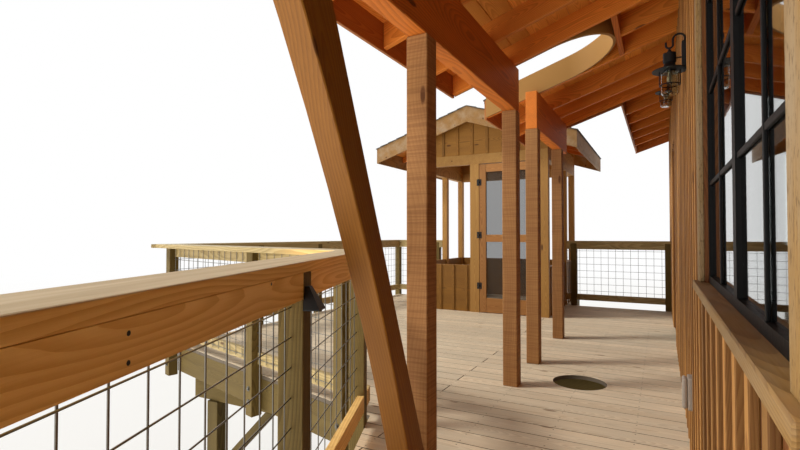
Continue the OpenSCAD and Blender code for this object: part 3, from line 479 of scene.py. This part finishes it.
def pushed(piece, wanted, shift):
    """Moves the vertices for which wanted is true, given their place from the datum."""
    activate(piece)
    bpy.ops.object.mode_set(mode="EDIT")
    bpy.ops.mesh.select_mode(type="VERT")
    bpy.ops.mesh.select_all(action="DESELECT")
    bpy.ops.object.mode_set(mode="OBJECT")
    for vert in piece.data.vertices:
        vert.select = wanted(vert.co - DATUM)
    bpy.ops.object.mode_set(mode="EDIT")
    bpy.ops.transform.translate(value=shift)
    bpy.ops.object.mode_set(mode="OBJECT")
    return piece


def sliced(piece, point, normal):
    """Cuts away what lies past a plane, on the side to which the normal points."""
    activate(piece)
    bpy.ops.object.mode_set(mode="EDIT")
    bpy.ops.mesh.select_all(action="SELECT")
    bpy.ops.mesh.bisect(plane_co=Vector(point) + DATUM, plane_no=normal, use_fill=True,
                        clear_outer=True)
    bpy.ops.object.mode_set(mode="OBJECT")
    return piece


def eased(piece, width, segments=1):
    """Rounds every sharp edge."""
    activate(piece)
    bevel = piece.modifiers.new("ease", "BEVEL")
    bevel.width = width
    bevel.segments = segments
    bevel.limit_method = "ANGLE"
    bevel.angle_limit = math.radians(35)
    bpy.ops.object.modifier_apply(modifier=bevel.name)
    return piece


def repeated(piece, count, shift):
    """The piece in a row, each copy a shift from the last."""
    activate(piece)
    array = piece.modifiers.new("repeat", "ARRAY")
    array.count = count
    array.use_relative_offset = False
    array.use_constant_offset = True
    array.constant_offset_displace = shift
    bpy.ops.object.modifier_apply(modifier=array.name)
    return piece


def twin(piece, shift=(0, 0, 0)):
    """A copy with a mesh of its own."""
    made = piece.copy()
    made.data = piece.data.copy()
    bpy.context.scene.collection.objects.link(made)
    made.location = shift
    return settled(made)


def joined(name, pieces):
    deselect()
    for piece in pieces:
        piece.select_set(True)
    bpy.context.view_layer.objects.active = pieces[0]
    if len(pieces) > 1:
        bpy.ops.object.join()
    pieces[0].name = name
    return pieces[0]


def scattered(name, piece, shifts):
    """The piece at each of the shifts, joined."""
    made = [twin(piece, shift) for shift in shifts]
    bpy.data.objects.remove(piece)
    return joined(name, made)


def node_copy(node):
    """A clean copy of a CAD node's mesh."""
    piece = nodes[node].copy()
    piece.data = nodes[node].data.copy()
    bpy.context.scene.collection.objects.link(piece)
    for key in list(piece.keys()):
        del piece[key]
    piece.parent = None
    activate(piece)
    bpy.ops.object.mode_set(mode="EDIT")
    bpy.ops.mesh.select_all(action="SELECT")
    bpy.ops.mesh.remove_doubles(threshold=0.00002)
    bpy.ops.mesh.dissolve_limited(angle_limit=math.radians(1))
    bpy.ops.object.mode_set(mode="OBJECT")
    return piece


def within(piece, cutter):
    """Keeps what lies inside the cutter, which is used up."""
    activate(piece)
    trim = piece.modifiers.new("trim", "BOOLEAN")
    trim.operation = "INTERSECT"
    trim.solver = "EXACT"
    trim.object = cutter
    bpy.ops.object.modifier_apply(modifier=trim.name)
    bpy.data.objects.remove(cutter)
    return piece


def grained(piece):
    """Gives each member its own grain coordinates: along its longest edge, across its width,
    and through its thickness, where the pith lies off its middle."""
    mesh = piece.data
    work = bmesh.new()
    work.from_mesh(mesh)
    work.verts.ensure_lookup_table()
    grain = [0.0] * (3 * len(work.verts))
    member = [0.0] * len(work.verts)
    seen = set()
    for start in work.verts:
        if start.index in seen:
            continue
        island, stack = [], [start]
        seen.add(start.index)
        while stack:
            vert = stack.pop()
            island.append(vert)
            for edge in vert.link_edges:
                other = edge.other_vert(vert)
                if other.index not in seen:
                    seen.add(other.index)
                    stack.append(other)
        edges = {edge for vert in island for edge in vert.link_edges}
        longest = max(edges, key=lambda e: (round(e.calc_length(), 5), -e.index), default=None)
        along = longest.verts[1].co - longest.verts[0].co if longest else Vector((1, 0, 0))
        along.normalize()
        side = along.cross(Vector((0, 0, 1)))
        if side.length < 0.05:
            side = Vector((0, 1, 0))
        side.normalize()
        up = side.cross(along)
        spread = [max(v.co @ way for v in island) - min(v.co @ way for v in island)
                  for way in (side, up)]
        if spread[0] < spread[1] * 0.9:
            side, up = up, side
        own = chance.random()
        middle = sum((vert.co for vert in island), Vector()) / len(island)
        offset = Vector((own * 40, chance.uniform(-0.04, 0.04), chance.uniform(0.03, 0.08)))
        for vert in island:
            at = vert.co - middle
            place = offset + Vector((at @ along, at @ side, at @ up))
            grain[3 * vert.index:3 * vert.index + 3] = place
            member[vert.index] = own
    work.free()
    mesh.attributes.new("grain", "FLOAT_VECTOR", "POINT").data.foreach_set("vector", grain)
    mesh.attributes.new("member", "FLOAT", "POINT").data.foreach_set("value", member)
    return piece


def fitted(piece, finish, replaces=(), body="house"):
    """The piece in its finish, riding on its body in place of CAD nodes."""
    piece.data.materials.clear()
    piece.data.materials.append(finishes[finish])
    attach(piece, body)
    if replaces:
        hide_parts(*replaces)


def dressed(node, finish, ease):
    """A timber node's members with eased edges and grain of their own."""
    piece = eased(node_copy(node), ease)
    piece.name = node + "_timber"
    fitted(grained(piece), finish, [node])


def painted(node, finish):
    """Gives a CAD node its finish and keeps its shape."""
    nodes[node].data.materials.clear()
    nodes[node].data.materials.append(finishes[finish])


# Platform

def deck_boards():
    """Boards run away from the wall in courses, their ends meeting over a joist in every course."""
    joint_half = 0.0015
    courses = []
    for row, joint_x in enumerate(DECK_JOINTS):
        y = DECK_Y0 + row * DECK_PITCH
        for x0, x1 in ((DECK_X0, joint_x - joint_half), (joint_x + joint_half, DECK_X1)):
            courses.append(cuboid("deck_board", (x0, y, -0.0299), (x1, y + DECK_BOARD_W, 0)))
    boards = eased(joined("deck_boards", courses), 0.0025)
    pairs = math.ceil((HUT_Y1 + 0.1 - DECK_Y0) / (2 * DECK_PITCH))
    boards = repeated(boards, pairs, (0, 2 * DECK_PITCH, 0))
    plan = pushed(node_copy("deck_floor"), lambda at: at.z > -0.01, (0, 0, 0.02))
    plan = pushed(plan, lambda at: at.z < -0.02, (0, 0, -0.02))
    fitted(grained(within(boards, plan)), "deck_board", ["deck_floor"])


# Walls

def batten_lines(length):
    """Places of the battens along a wall, evenly about its middle."""
    count = int((length - 2 * TRIM_W - 0.04) / BATTEN_PITCH)
    first = (length - count * BATTEN_PITCH) / 2
    return [first + i * BATTEN_PITCH for i in range(count + 1)]


def long_wall_battens(name, x, way, openings):
    """Battens up a long wall, broken round each opening's casings."""
    spans = {}
    for a in batten_lines(FAR_Y - NEAR_Y):
        y = NEAR_Y + a
        cut = next((o for o in openings if o[0] - 0.02 < y < o[1] + 0.02), None)
        heights = [(0.0, BATTEN_TOP)] if cut is None else [(0.0, cut[2]), (cut[3], BATTEN_TOP)]
        for z0, z1 in heights:
            if z1 - z0 > 0.05:
                spans.setdefault((z0, z1), []).append(y)
    made = []
    for (z0, z1), places in spans.items():
        sides = sorted((x, x + way * BATTEN_T))
        one = cuboid("batten", (sides[0], -BATTEN_W / 2, z0 + 0.001),
                     (sides[1], BATTEN_W / 2, z1 - 0.001))
        made.append(scattered("battens", eased(one, 0.002), [(0, y, 0) for y in places]))
    fitted(grained(joined(name, made)), "long_batten")


def end_wall_battens(name, y, way, openings):
    """Battens up a gable wall, cut to the slopes under the roof boards."""
    made = []
    sides = sorted((y, y + way * BATTEN_T))
    for a in batten_lines(WALL_BACK - WALL_X):
        x = WALL_X + a
        cut = next((o for o in openings if o[0] - 0.02 < x < o[1] + 0.02), None)
        inward = min(x - WALL_X, WALL_BACK - x) - BATTEN_W / 2
        top = WALL_TOP + RAFTER_V + inward / SLOPE_RUN - 0.006
        heights = [(0.0, top)] if cut is None else [(0.0, cut[2]), (cut[3], top)]
        for z0, z1 in heights:
            made.append(cuboid("batten", (x - BATTEN_W / 2, sides[0], z0 + 0.001),
                               (x + BATTEN_W / 2, sides[1], z1 - 0.001)))
    fitted(grained(eased(joined(name, made), 0.002)), "end_batten")


def window_hole(middle):
    """Where battens stop round a window: its span along the wall, then its height."""
    half = WINDOW_W / 2 + TRIM_W + BATTEN_W / 2
    return (middle - half, middle + half, SILL_Z - 0.031, HEAD_Z + TRIM_W + 0.001)


def walls():
    front = [window_hole(y) for y in FRONT_WINDOWS] + [CABIN_DOOR_HOLE]
    back = [window_hole(y) for y in BACK_WINDOWS]
    ends = [window_hole(x) for x in END_WINDOWS]
    long_wall_battens("front_battens", WALL_X, -1, front)
    long_wall_battens("back_battens", WALL_BACK, 1, back)
    end_wall_battens("near_battens", NEAR_Y, -1, ends)
    end_wall_battens("far_battens", FAR_Y, 1, ends)


def window_bars():
    """A black bar up the middle of each light of the front windows, with level bars between."""
    light_w = (WINDOW_W - MULLION_W) / 2 - FRAME_W
    z0, z1 = SILL_Z + FRAME_W, HEAD_Z - FRAME_W
    x1 = WALL_X + GLASS_IN - 0.0003
    x0 = x1 - BAR_T
    half, clear = BAR_W / 2, BAR_W / 2 + 0.0005
    made = []
    for middle in FRONT_WINDOWS:
        for side in (-1, 1):
            y = middle + side * (light_w + MULLION_W) / 2
            made.append(cuboid("bar", (x0, y - half, z0), (x1, y + half, z1)))
            for row in (1, 2, 3):
                z = z0 + (z1 - z0) * row / 4
                for a, b in ((y - light_w / 2, y - clear), (y + clear, y + light_w / 2)):
                    made.append(cuboid("bar", (x0 + 0.001, a, z - half), (x1, b, z + half)))
    fitted(eased(joined("window_bars", made), 0.002, 2), "black_frame")


# Roof

def level(at, ridge):
    """Height of a point over the slopes that meet at a ridge."""
    return at.z + abs(at.x - ridge) / SLOPE_RUN


def plan_of(node, ridge):
    """A CAD roof layer made deeper above and below, so that only its plan trims a piece."""
    piece = node_copy(node)
    levels = [level(vert.co - DATUM, ridge) for vert in piece.data.vertices]
    middle = (min(levels) + max(levels)) / 2
    pushed(piece, lambda at: level(at, ridge) > middle, (0, 0, 0.05))
    return pushed(piece, lambda at: level(at, ridge) < middle - 0.001, (0, 0, -0.05))


def sloped(piece, way, ridge, top):
    """Turns a piece that lies flat at the ridge's height down onto a slope."""
    return turned(piece, -way * SLOPE, "Y", (ridge, 0, top))


def slope_boards(node, way, ridge, top, run, ends, joints):
    """Boards along a slope in rows, ends broken at joints, trimmed to the node."""
    thick = (BOARD_V - 0.0002) * math.cos(SLOPE)
    width = ROOF_BOARD_W
    made = []
    for row, slide in enumerate((0.0, 0.81)):
        cuts = [ends[0] - 0.05] + [y - slide for y in joints] + [ends[1] + 0.05]
        for y0, y1 in zip(cuts, cuts[1:]):
            xs = sorted((ridge - way * row * width, ridge - way * ((row + 1) * width - 0.0008)))
            made.append(cuboid("board", (xs[0], y0, top), (xs[1], y1 - 0.001, top + thick)))
    rows = math.ceil(run / math.cos(SLOPE) / width / 2)
    boards = repeated(eased(joined(node + "_laid", made), 0.004), rows, (-way * 2 * width, 0, 0))
    boards = within(sloped(boards, way, ridge, top), plan_of(node, ridge))
    fitted(grained(boards), "roof_board", [node])


def slope_courses(name, node, way, ridge, top, run, ends):
    """Shingle courses: each is thick at its butt and thin where the next one covers it."""
    rise = COURSE / math.cos(SLOPE)
    thick = ROOFING_V * math.cos(SLOPE)
    xs = sorted((ridge, ridge - way * (rise - 0.0005)))
    course = cuboid("course", (xs[0], ends[0] - 0.05, top), (xs[1], ends[1] + 0.05, top + thick))
    upper = ridge - way * 0.001
    pushed(course, lambda at: at.z > top + 0.001 and (at.x - upper) * way > 0, (0, 0, -0.008))
    courses = repeated(course, math.ceil(run / COURSE), (-way * rise, 0, 0))
    courses = within(sloped(courses, way, ridge, top), plan_of(node, ridge))
    courses.name = name
    return courses


def drip_edge(name, xs, ys, ridge, top):
    """A thin folded metal edge under the roofing, over the fascia."""
    strip = cuboid(name, (xs[0], ys[0], -DRIP_H), (xs[1], ys[1], 0))
    if xs[1] - xs[0] < 0.01:
        z = top - abs((xs[0] + xs[1]) / 2 - ridge) / SLOPE_RUN
        return pushed(strip, lambda at: True, (0, 0, z))
    for x in xs:
        z = top - abs(x - ridge) / SLOPE_RUN
        pushed(strip, lambda at: abs(at.x - x) < 0.001 and at.z < 1.0, (0, 0, z))
    return strip


def drip_edges():
    """Along the cabin's eaves, each side of the slot, then up its gables and the porch's ends."""
    under = RIDGE_V + BOARD_V - 0.0006
    t, out = DRIP_T, DRIP_OUT
    porch, short, back = PORCH_EAVE_X - out, SHORT_EAVE_X - out, BACK_EAVE_X + out
    roof_y0, roof_y1 = ROOF_Y0 - out, ROOF_Y1 + out
    porch_y0, porch_y1 = PORCH_Y0 - out, PORCH_Y1 + out
    spans = [((porch - t, porch), (porch_y0, SLOT_Y - SLOT_R)),
             ((porch - t, porch), (SLOT_Y + SLOT_R, porch_y1)),
             ((short - t, short), (roof_y0, porch_y0)),
             ((short - t, short), (porch_y1, roof_y1)),
             ((back, back + t), (roof_y0, roof_y1))]
    for y in (roof_y0 - t, roof_y1):
        spans += [((short, RIDGE_X), (y, y + t)), ((RIDGE_X, back), (y, y + t))]
    spans += [((porch, short), (y, y + t)) for y in (porch_y0 - t, porch_y1)]
    strips = [drip_edge("drip", xs, ys, RIDGE_X, under) for xs, ys in spans]
    fitted(joined("drip_edges", strips), "black_frame")


def roofs():
    """Boards, then shingles, laid past every edge by a spare that the node's plan trims off."""
    spare = 0.06
    ends = (ROOF_Y0 - 0.04, ROOF_Y1 + 0.04)
    slopes = (("front", 1, RIDGE_X - PORCH_EAVE_X + spare),
              ("back", -1, BACK_EAVE_X - RIDGE_X + spare))
    for side, way, run in slopes:
        slope_boards(side + "_roof_boards", way, RIDGE_X, RIDGE_V, run, ends, (1.72, 5.40))
    for side, way, run in slopes:
        node = side + "_roofing"
        fitted(slope_courses(node + "_laid", node, way, RIDGE_X, RIDGE_V + BOARD_V, run, ends),
               "shingle", [node])
    hut_top = HUT_TOP + (HUT_X1 - HUT_X0) / (2 * SLOPE_RUN) + HUT_RAFTER_V + BOARD_V
    run = (HUT_X1 - HUT_X0) / 2 + HUT_EAVE + spare
    ends = (HUT_Y0 - HUT_RAKE, HUT_Y1 + HUT_RAKE)
    halves = [slope_courses("hut_half", "hut_roofing", way, HUT_RIDGE_X, hut_top, run, ends)
              for way in (1, -1)]
    fitted(joined("hut_roofing_laid", halves), "shingle", ["hut_roofing"])
    drip_edges()


# Railing

def turn(run):
    """Unit vectors along a run of the railing and out from the deck."""
    along = (Vector(run[1]) - Vector(run[0])).normalized()
    return along, Vector((-along.y, along.x))


def on_run(run, s, out, z):
    """The point s along a run, so far out from its line, at height z."""
    along, outward = turn(run)
    flat = Vector(run[0]) + along * s + outward * out
    return (flat.x, flat.y, z)


def run_board(name, run, before, after, out, heights):
    """A board along a run, mitred towards the runs before and after it."""
    along = turn(run)[0]
    length = (Vector(run[1]) - Vector(run[0])).length
    spare = 0.3
    start = -spare if before else 0.0
    end = length + (spare if after else 0.0)
    board = cuboid(name, (start, out[0], heights[0]), (end, out[1], heights[1]))
    board = turned(board, math.atan2(along.y, along.x), "Z", (0, 0, 0))
    pushed(board, lambda at: True, (run[0][0], run[0][1], 0))
    for other, corner, way in ((before, run[0], -1), (after, run[1], 1)):
        if other:
            across = (along + turn(other)[0]) * way
            sliced(board, (corner[0], corner[1], 0), (across.x, across.y, 0))
    return board


def rail_caps():
    """Cap boards mitred at the deck's corners. The last run stands alone past the hut."""
    caps = []
    for i, run in enumerate(RUNS):
        before = RUNS[i - 1] if i not in (0, len(RUNS) - 1) else None
        after = RUNS[i + 1] if i < len(RUNS) - 2 else None
        caps.append(run_board("cap", run, before, after, (0.0, CAP_W), (RAIL_Z - PLY, RAIL_Z)))
    fitted(grained(eased(joined("cap_boards", caps), 0.004, 2)), "cap_board",
           ["rail_caps"])


def panels(run, posts, start=0.0, end=None):
    """The spans between the posts of a run."""
    length = (Vector(run[1]) - Vector(run[0])).length if end is None else end
    edges = [start] + [p + way * POST_HALF for p in posts for way in (-1, 1)] + [length]
    pairs = list(zip(edges[::2], edges[1::2]))
    return [(a, b) for a, b in pairs if b - a > 0.02]


def mesh_panel(run, a, b):
    """Welded wires: uprights on the outside, level wires on the inside."""
    z0, z1 = LOW_RAIL_Z + 0.02, RAIL_Z - PLY
    weld = 0.0012
    count = max(0, int((b - a - 0.02) / WIRE_PITCH))
    first = (a + b - count * WIRE_PITCH) / 2
    upright = rod("upright", on_run(run, first, POST_HALF + weld, z0),
                  on_run(run, first, POST_HALF + weld, z1), WIRE_R)
    shift = turn(run)[0] * WIRE_PITCH
    uprights = scattered("uprights", upright,
                         [(shift.x * i, shift.y * i, 0) for i in range(count + 1)])
    rows = int((z1 - z0 - 0.04) / WIRE_PITCH)
    level_wire = rod("level_wire", on_run(run, a, POST_HALF - weld, z0 + 0.02),
                     on_run(run, b, POST_HALF - weld, z0 + 0.02), WIRE_R)
    level_wires = scattered("level_wires", level_wire,
                            [(0, 0, k * WIRE_PITCH) for k in range(rows + 1)])
    return [uprights, level_wires]


def mesh_panels():
    """The mesh between the posts, one piece for each CAD node of wires."""
    groups = {"near_wires": [1], "side_wires": [3], "end_wires": [0, 2, 4, 5]}
    for node, numbers in groups.items():
        made = []
        for number in numbers:
            for a, b in panels(RUNS[number], POSTS[number], *WIRE_ENDS.get(number, (0.0, None))):
                made += mesh_panel(RUNS[number], a, b)
        fitted(joined(node + "_round", made), "dull_zinc", [node])


def bolt_heads():
    """Two bolts through each railing post into the rim joist, with washers."""
    washer = rod("washer", (0, 0, 0), (0.003, 0, 0), 0.019, 20)
    head = rod("head", (0.003, 0, 0), (0.012, 0, 0), 0.0125, 6)
    pattern = joined("bolt", [washer, eased(head, 0.0012)])
    made = []
    for run, posts in zip(RUNS, POSTS):
        outward = turn(run)[1]
        angle = math.atan2(outward.y, outward.x)
        for s in posts:
            for z in (-0.095, -0.195):
                bolt = turned(twin(pattern), angle, "Z", (0, 0, 0))
                place = on_run(run, s, 2 * POST_HALF + 0.0001, z)
                made.append(pushed(bolt, lambda at: True, place))
    bpy.data.objects.remove(pattern)
    fitted(joined("post_bolts", made), "dull_zinc")


# Hut

def panel_lines(start, end):
    """Places of the battens on a panel of the hut, evenly about its middle."""
    pitch = 0.2
    count = int((end - start - 0.1) / pitch)
    return [(start + end) / 2 + (i - count / 2) * pitch for i in range(count + 1)]


def hut_battens():
    """Battens on the gables and on the panels under the openings."""
    made = []
    half, thick, inset = HUT_BATTEN_W / 2, HUT_BATTEN_T, 0.020
    for y0, y1 in ((HUT_Y0 - thick, HUT_Y0), (HUT_Y1, HUT_Y1 + thick)):
        for i in range(-4, 5):
            x = HUT_RIDGE_X + i * 0.22
            inward = HUT_RIDGE_X - HUT_X0 - (abs(x - HUT_RIDGE_X) + half)
            top = HUT_TOP + inward / SLOPE_RUN + 0.080
            made.append(cuboid("batten", (x - half, y0, 2.232), (x + half, y1, top)))
    foot, head = 0.001, 0.659
    x0, x1 = HUT_X0 + HUT_POST_W, HUT_X1 - HUT_POST_W
    y0, y1 = HUT_Y0 + HUT_POST_W, HUT_Y1 - HUT_POST_W
    for span, y, way in (((x0, FRONT_PANEL_X1), HUT_Y0 + inset, -1),
                         ((x0, BACK_POST_X[0]), HUT_Y1 - inset, 1),
                         ((BACK_POST_X[1], x1), HUT_Y1 - inset, 1)):
        low, high = sorted((y, y + way * thick))
        for x in panel_lines(*span):
            made.append(cuboid("batten", (x - half, low, foot), (x + half, high, head)))
    for x, way in ((HUT_X0 + inset, -1), (HUT_X1 - inset, 1)):
        low, high = sorted((x, x + way * thick))
        for span in ((y0, DECK_Y1), (DECK_Y1 + HUT_POST_W, y1)):
            for y in panel_lines(*span):
                made.append(cuboid("batten", (low, y - half, foot), (high, y + half, head)))
    fitted(grained(eased(joined("hut_battens", made), 0.002)), "hut_board")


def hut_door():
    """Stiles the whole height of the door, and three rails a little thinner between them."""
    x0, x1 = DOOR_X0, DOOR_X0 + DOOR_W
    y0, y1 = HUT_Y0, HUT_Y0 + DOOR_T
    z0, z1 = DOOR_Z0, DOOR_Z1
    inner, joint = 0.0012, 0.0006
    made = [cuboid("stile", (x0, y0, z0), (x0 + STILE_W, y1, z1)),
            cuboid("stile", (x1 - STILE_W, y0, z0), (x1, y1, z1))]
    for a, b in ((z0, z0 + FOOT_RAIL_H), MID_RAIL, (z1 - HEAD_RAIL_H, z1)):
        made.append(cuboid("rail", (x0 + STILE_W + joint, y0 + inner, a),
                           (x1 - STILE_W - joint, y1 - inner, b)))
    fitted(grained(eased(joined("hut_door_timber", made), 0.003, 2)), "door_board",
           ["hut_door"], "door")


# Fittings

def lantern_lamps():
    """A slim bulb on a stem inside each jar."""
    made = []
    for y, z in LANTERNS:
        x = WALL_X - LANTERN_OUT
        made.append(rod("stem", (x, y, z - 0.049), (x, y, z - 0.070), 0.009, 16))
        deselect()
        bpy.ops.mesh.primitive_uv_sphere_add(segments=20, ring_count=12, radius=0.014,
                                             location=Vector((x, y, z - 0.088)) + DATUM)
        bulb = bpy.context.object
        bulb.scale.z = 1.6
        bpy.ops.object.shade_smooth()
        made.append(settled(bulb))
    fitted(joined("lantern_lamps", made), "lamp_glass")


def lantern_cages():
    """Each lantern's wall plate and stay, and the ring on four bars round its jar."""
    made = []
    for y, z in LANTERNS:
        x = WALL_X - LANTERN_OUT
        plate = cuboid("plate", (WALL_X - 0.032, y - 0.030, z - 0.054),
                       (WALL_X - 0.0005, y + 0.030, z + 0.095))
        made.append(eased(plate, 0.005, 2))
        made.append(rod("stay", (x + 0.028, y, z + 0.018), (WALL_X - 0.030, y, z + 0.018),
                        0.004, 12))
        for way_x, way_y in ((1, 0), (0, 1), (-1, 0), (0, -1)):
            at_x, at_y = x + way_x * CAGE_R, y + way_y * CAGE_R
            made.append(rod("bar", (at_x, at_y, z - 0.044), (at_x, at_y, z - 0.119), 0.0028))
        deselect()
        bpy.ops.mesh.primitive_torus_add(major_segments=36, minor_segments=8, minor_radius=0.003,
                                         major_radius=CAGE_R,
                                         location=Vector((x, y, z - 0.119)) + DATUM)
        ring = bpy.context.object
        bpy.ops.object.shade_smooth()
        made.append(settled(ring))
    fitted(joined("lantern_cages", made), "black_iron")


def outlet_box():
    """A rounded weatherproof cover with a lid line and two screws."""
    low, high = (Vector(corner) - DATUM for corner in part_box("outlet_cover"))
    back = cuboid("box", (low.x + 0.022, low.y, low.z), high)
    lid = cuboid("lid", low, (low.x + 0.021, high.y - 0.004, high.z - 0.006))
    pushed(lid, lambda at: at.z < low.z + 0.001, (0, 0, 0.006))
    made = [eased(back, 0.006, 3), eased(lid, 0.010, 4)]
    middle = (low.y + high.y) / 2
    for z in (low.z + 0.022, high.z - 0.022):
        screw = rod("screw", (low.x + 0.0003, middle, z), (low.x + 0.003, middle, z), 0.004, 12)
        made.append(eased(screw, 0.0005))
    fitted(joined("outlet_box", made), "grey_plastic", ["outlet_cover"])


def screw_heads():
    """Screws that hold the near rail under its cap."""
    run = RUNS[1]
    screws = [rod("screw", on_run(run, s, 0.002, z), on_run(run, s, -0.0006, z), 0.0045, 16)
              for s, z in RAIL_SCREWS]
    made = [eased(screw, 0.0004) for screw in screws]
    fitted(joined("rail_screws", made), "black_iron")


# Timber nodes in turn, with their finish, their slot and how far their edges are eased
for finish, slot, ease, names in (
        ("treated_post", "treated_timber", 0.004, "support_posts"),
        ("treated_post", "treated_timber", 0.003, "knee_braces"),
        ("treated_post", "treated_timber", 0.004, "deck_beams"),
        ("treated_post", "treated_timber", 0.003, "deck_joists hole_headers rim_joists"),
        ("sill_board", "trim", 0.003, "window_sills"),
        ("cedar_trim", "trim", 0.003, "wall_trim"),
        ("oiled_beam", "beam_timber", 0.003, "ridge_beam"),
        ("rafter_board", "beam_timber", 0.003, "rafters"),
        ("oiled_beam", "beam_timber", 0.002, "slot_header"),
        ("oiled_beam", "beam_timber", 0.004, "porch_beams"),
        ("sawn_post", "beam_timber", 0.004, "porch_posts"),
        ("strut_timber", "beam_timber", 0.004, "leaning_strut"),
        ("fascia_board", "fascia_boards", 0.002, "eave_fascia rake_boards"),
        ("treated_post", "treated_timber", 0.003, "rail_posts"),
        ("hut_trim", "hut_cedar", 0.003, "hut_posts hut_plates"),
        ("hut_board", "hut_cedar", 0.002, "hut_panels hut_gables"),
        ("oiled_beam", "hut_cedar", 0.003, "hut_rafters"),
        ("hut_edge", "fascia_boards", 0.002, "hut_fascia"),
        ("rail_board", "rail_timber", 0.004, "top_rails bottom_rails"),
        ("roof_board", "roof_boards", 0.001, "hut_roof_boards")):
    for node in names.split():
        dressed(node, finish, ease)

for node, finish in {
    "cabin_floor": "floor_board", "front_wall": "siding_board", "back_wall": "siding_board",
    "near_end_wall": "siding_board", "far_end_wall": "siding_board",
    "window_frames": "black_frame", "window_glass": "window_pane", "cabin_door": "black_frame",
    "slot_lining": "lining_board", "door_screen": "screen_cloth", "door_hinges": "black_iron",
    "jamb_hinges": "black_iron", "lanterns": "black_iron", "lantern_jars": "window_pane",
    "rail_light": "black_iron",
}.items():
    painted(node, finish)

deck_boards()
walls()
window_bars()
roofs()
rail_caps()
mesh_panels()
bolt_heads()
hut_battens()
hut_door()
lantern_lamps()
lantern_cages()
outlet_box()
screw_heads()


# Stage, light and camera

def stage():
    """A pale floor that fades to white far off and casts no shadow."""
    deselect()
    bpy.ops.mesh.primitive_plane_add(size=400, location=(0, 0, 0))
    floor = bpy.context.object
    floor.name = "stage_floor"
    paint = Paint("stage_floor", Roughness=0.9, Base_Color=(0.82, 0.82, 0.81, 1))
    x, y, _ = paint.parts(paint.place())
    away = paint.maths("SQRT", x * x + y * y)
    white = paint.node("Emission", None, {"Color": (1, 1, 1, 1), "Strength": 1.0})
    blend = paint.node("MixShader", None, {0: paint.step(away, 14.0, 60.0),
                                           1: Signal(paint, paint.shader.outputs[0]), 2: white})
    output = paint.tree.nodes["Material Output"]
    paint.tree.links.new(blend.socket, output.inputs[0])
    floor.data.materials.append(paint.material)
    floor.visible_shadow = False


def light():
    """White all round, dimmer on matt faces than where it is seen or mirrored, with three suns."""
    world = bpy.data.worlds.new("studio")
    bpy.context.scene.world = world
    world.use_nodes = True
    tree = world.node_tree
    path = tree.nodes.new("ShaderNodeLightPath")
    seen = path.outputs["Is Camera Ray"]
    for ray in ("Is Glossy Ray", "Is Transmission Ray"):
        larger = tree.nodes.new("ShaderNodeMath")
        larger.operation = "MAXIMUM"
        tree.links.new(seen, larger.inputs[0])
        tree.links.new(path.outputs[ray], larger.inputs[1])
        seen = larger.outputs[0]
    strength = tree.nodes.new("ShaderNodeMapRange")
    tree.links.new(seen, strength.inputs[0])
    strength.inputs["To Min"].default_value = 0.6
    strength.inputs["To Max"].default_value = 1.0
    tree.links.new(strength.outputs[0], tree.nodes["Background"].inputs["Strength"])
    tree.nodes["Background"].inputs["Color"].default_value = (1, 1, 1, 1)

    # The sun, and the wide glow of the pale floor below, which reaches in under the eaves
    for name, way, energy, spread, colour in (
            ("soft_sun", (-0.62, -0.34, 0.70), 2.4, 12, (1.0, 0.965, 0.91)),
            ("glow_near", (-0.30, -0.87, -0.42), 2.9, 60, (1.0, 0.98, 0.95)),
            ("glow_side", (-0.93, 0.0, -0.37), 2.9, 60, (1.0, 0.98, 0.95))):
        data = bpy.data.lights.new(name, "SUN")
        data.energy = energy
        data.angle = math.radians(spread)
        data.color = colour
        lamp = bpy.data.objects.new(name, data)
        lamp.rotation_euler = Vector(way).to_track_quat("Z", "Y").to_euler()
        bpy.context.scene.collection.objects.link(lamp)


def camera():
    """At the place on the deck where the photograph was taken from."""
    data = bpy.data.cameras.new("camera")
    data.lens = 21.735
    data.sensor_width = 36
    data.clip_start = 0.02
    data.clip_end = 500
    view = bpy.data.objects.new("camera", data)
    view.location = Vector((0, 0, EYE_Z)) + DATUM
    view.rotation_euler = (math.radians(EYE_TILT), 0, math.radians(EYE_TURN))
    bpy.context.scene.collection.objects.link(view)
    bpy.context.scene.camera = view


stage()
light()
camera()
bpy.context.scene.view_settings.view_transform = "Standard"
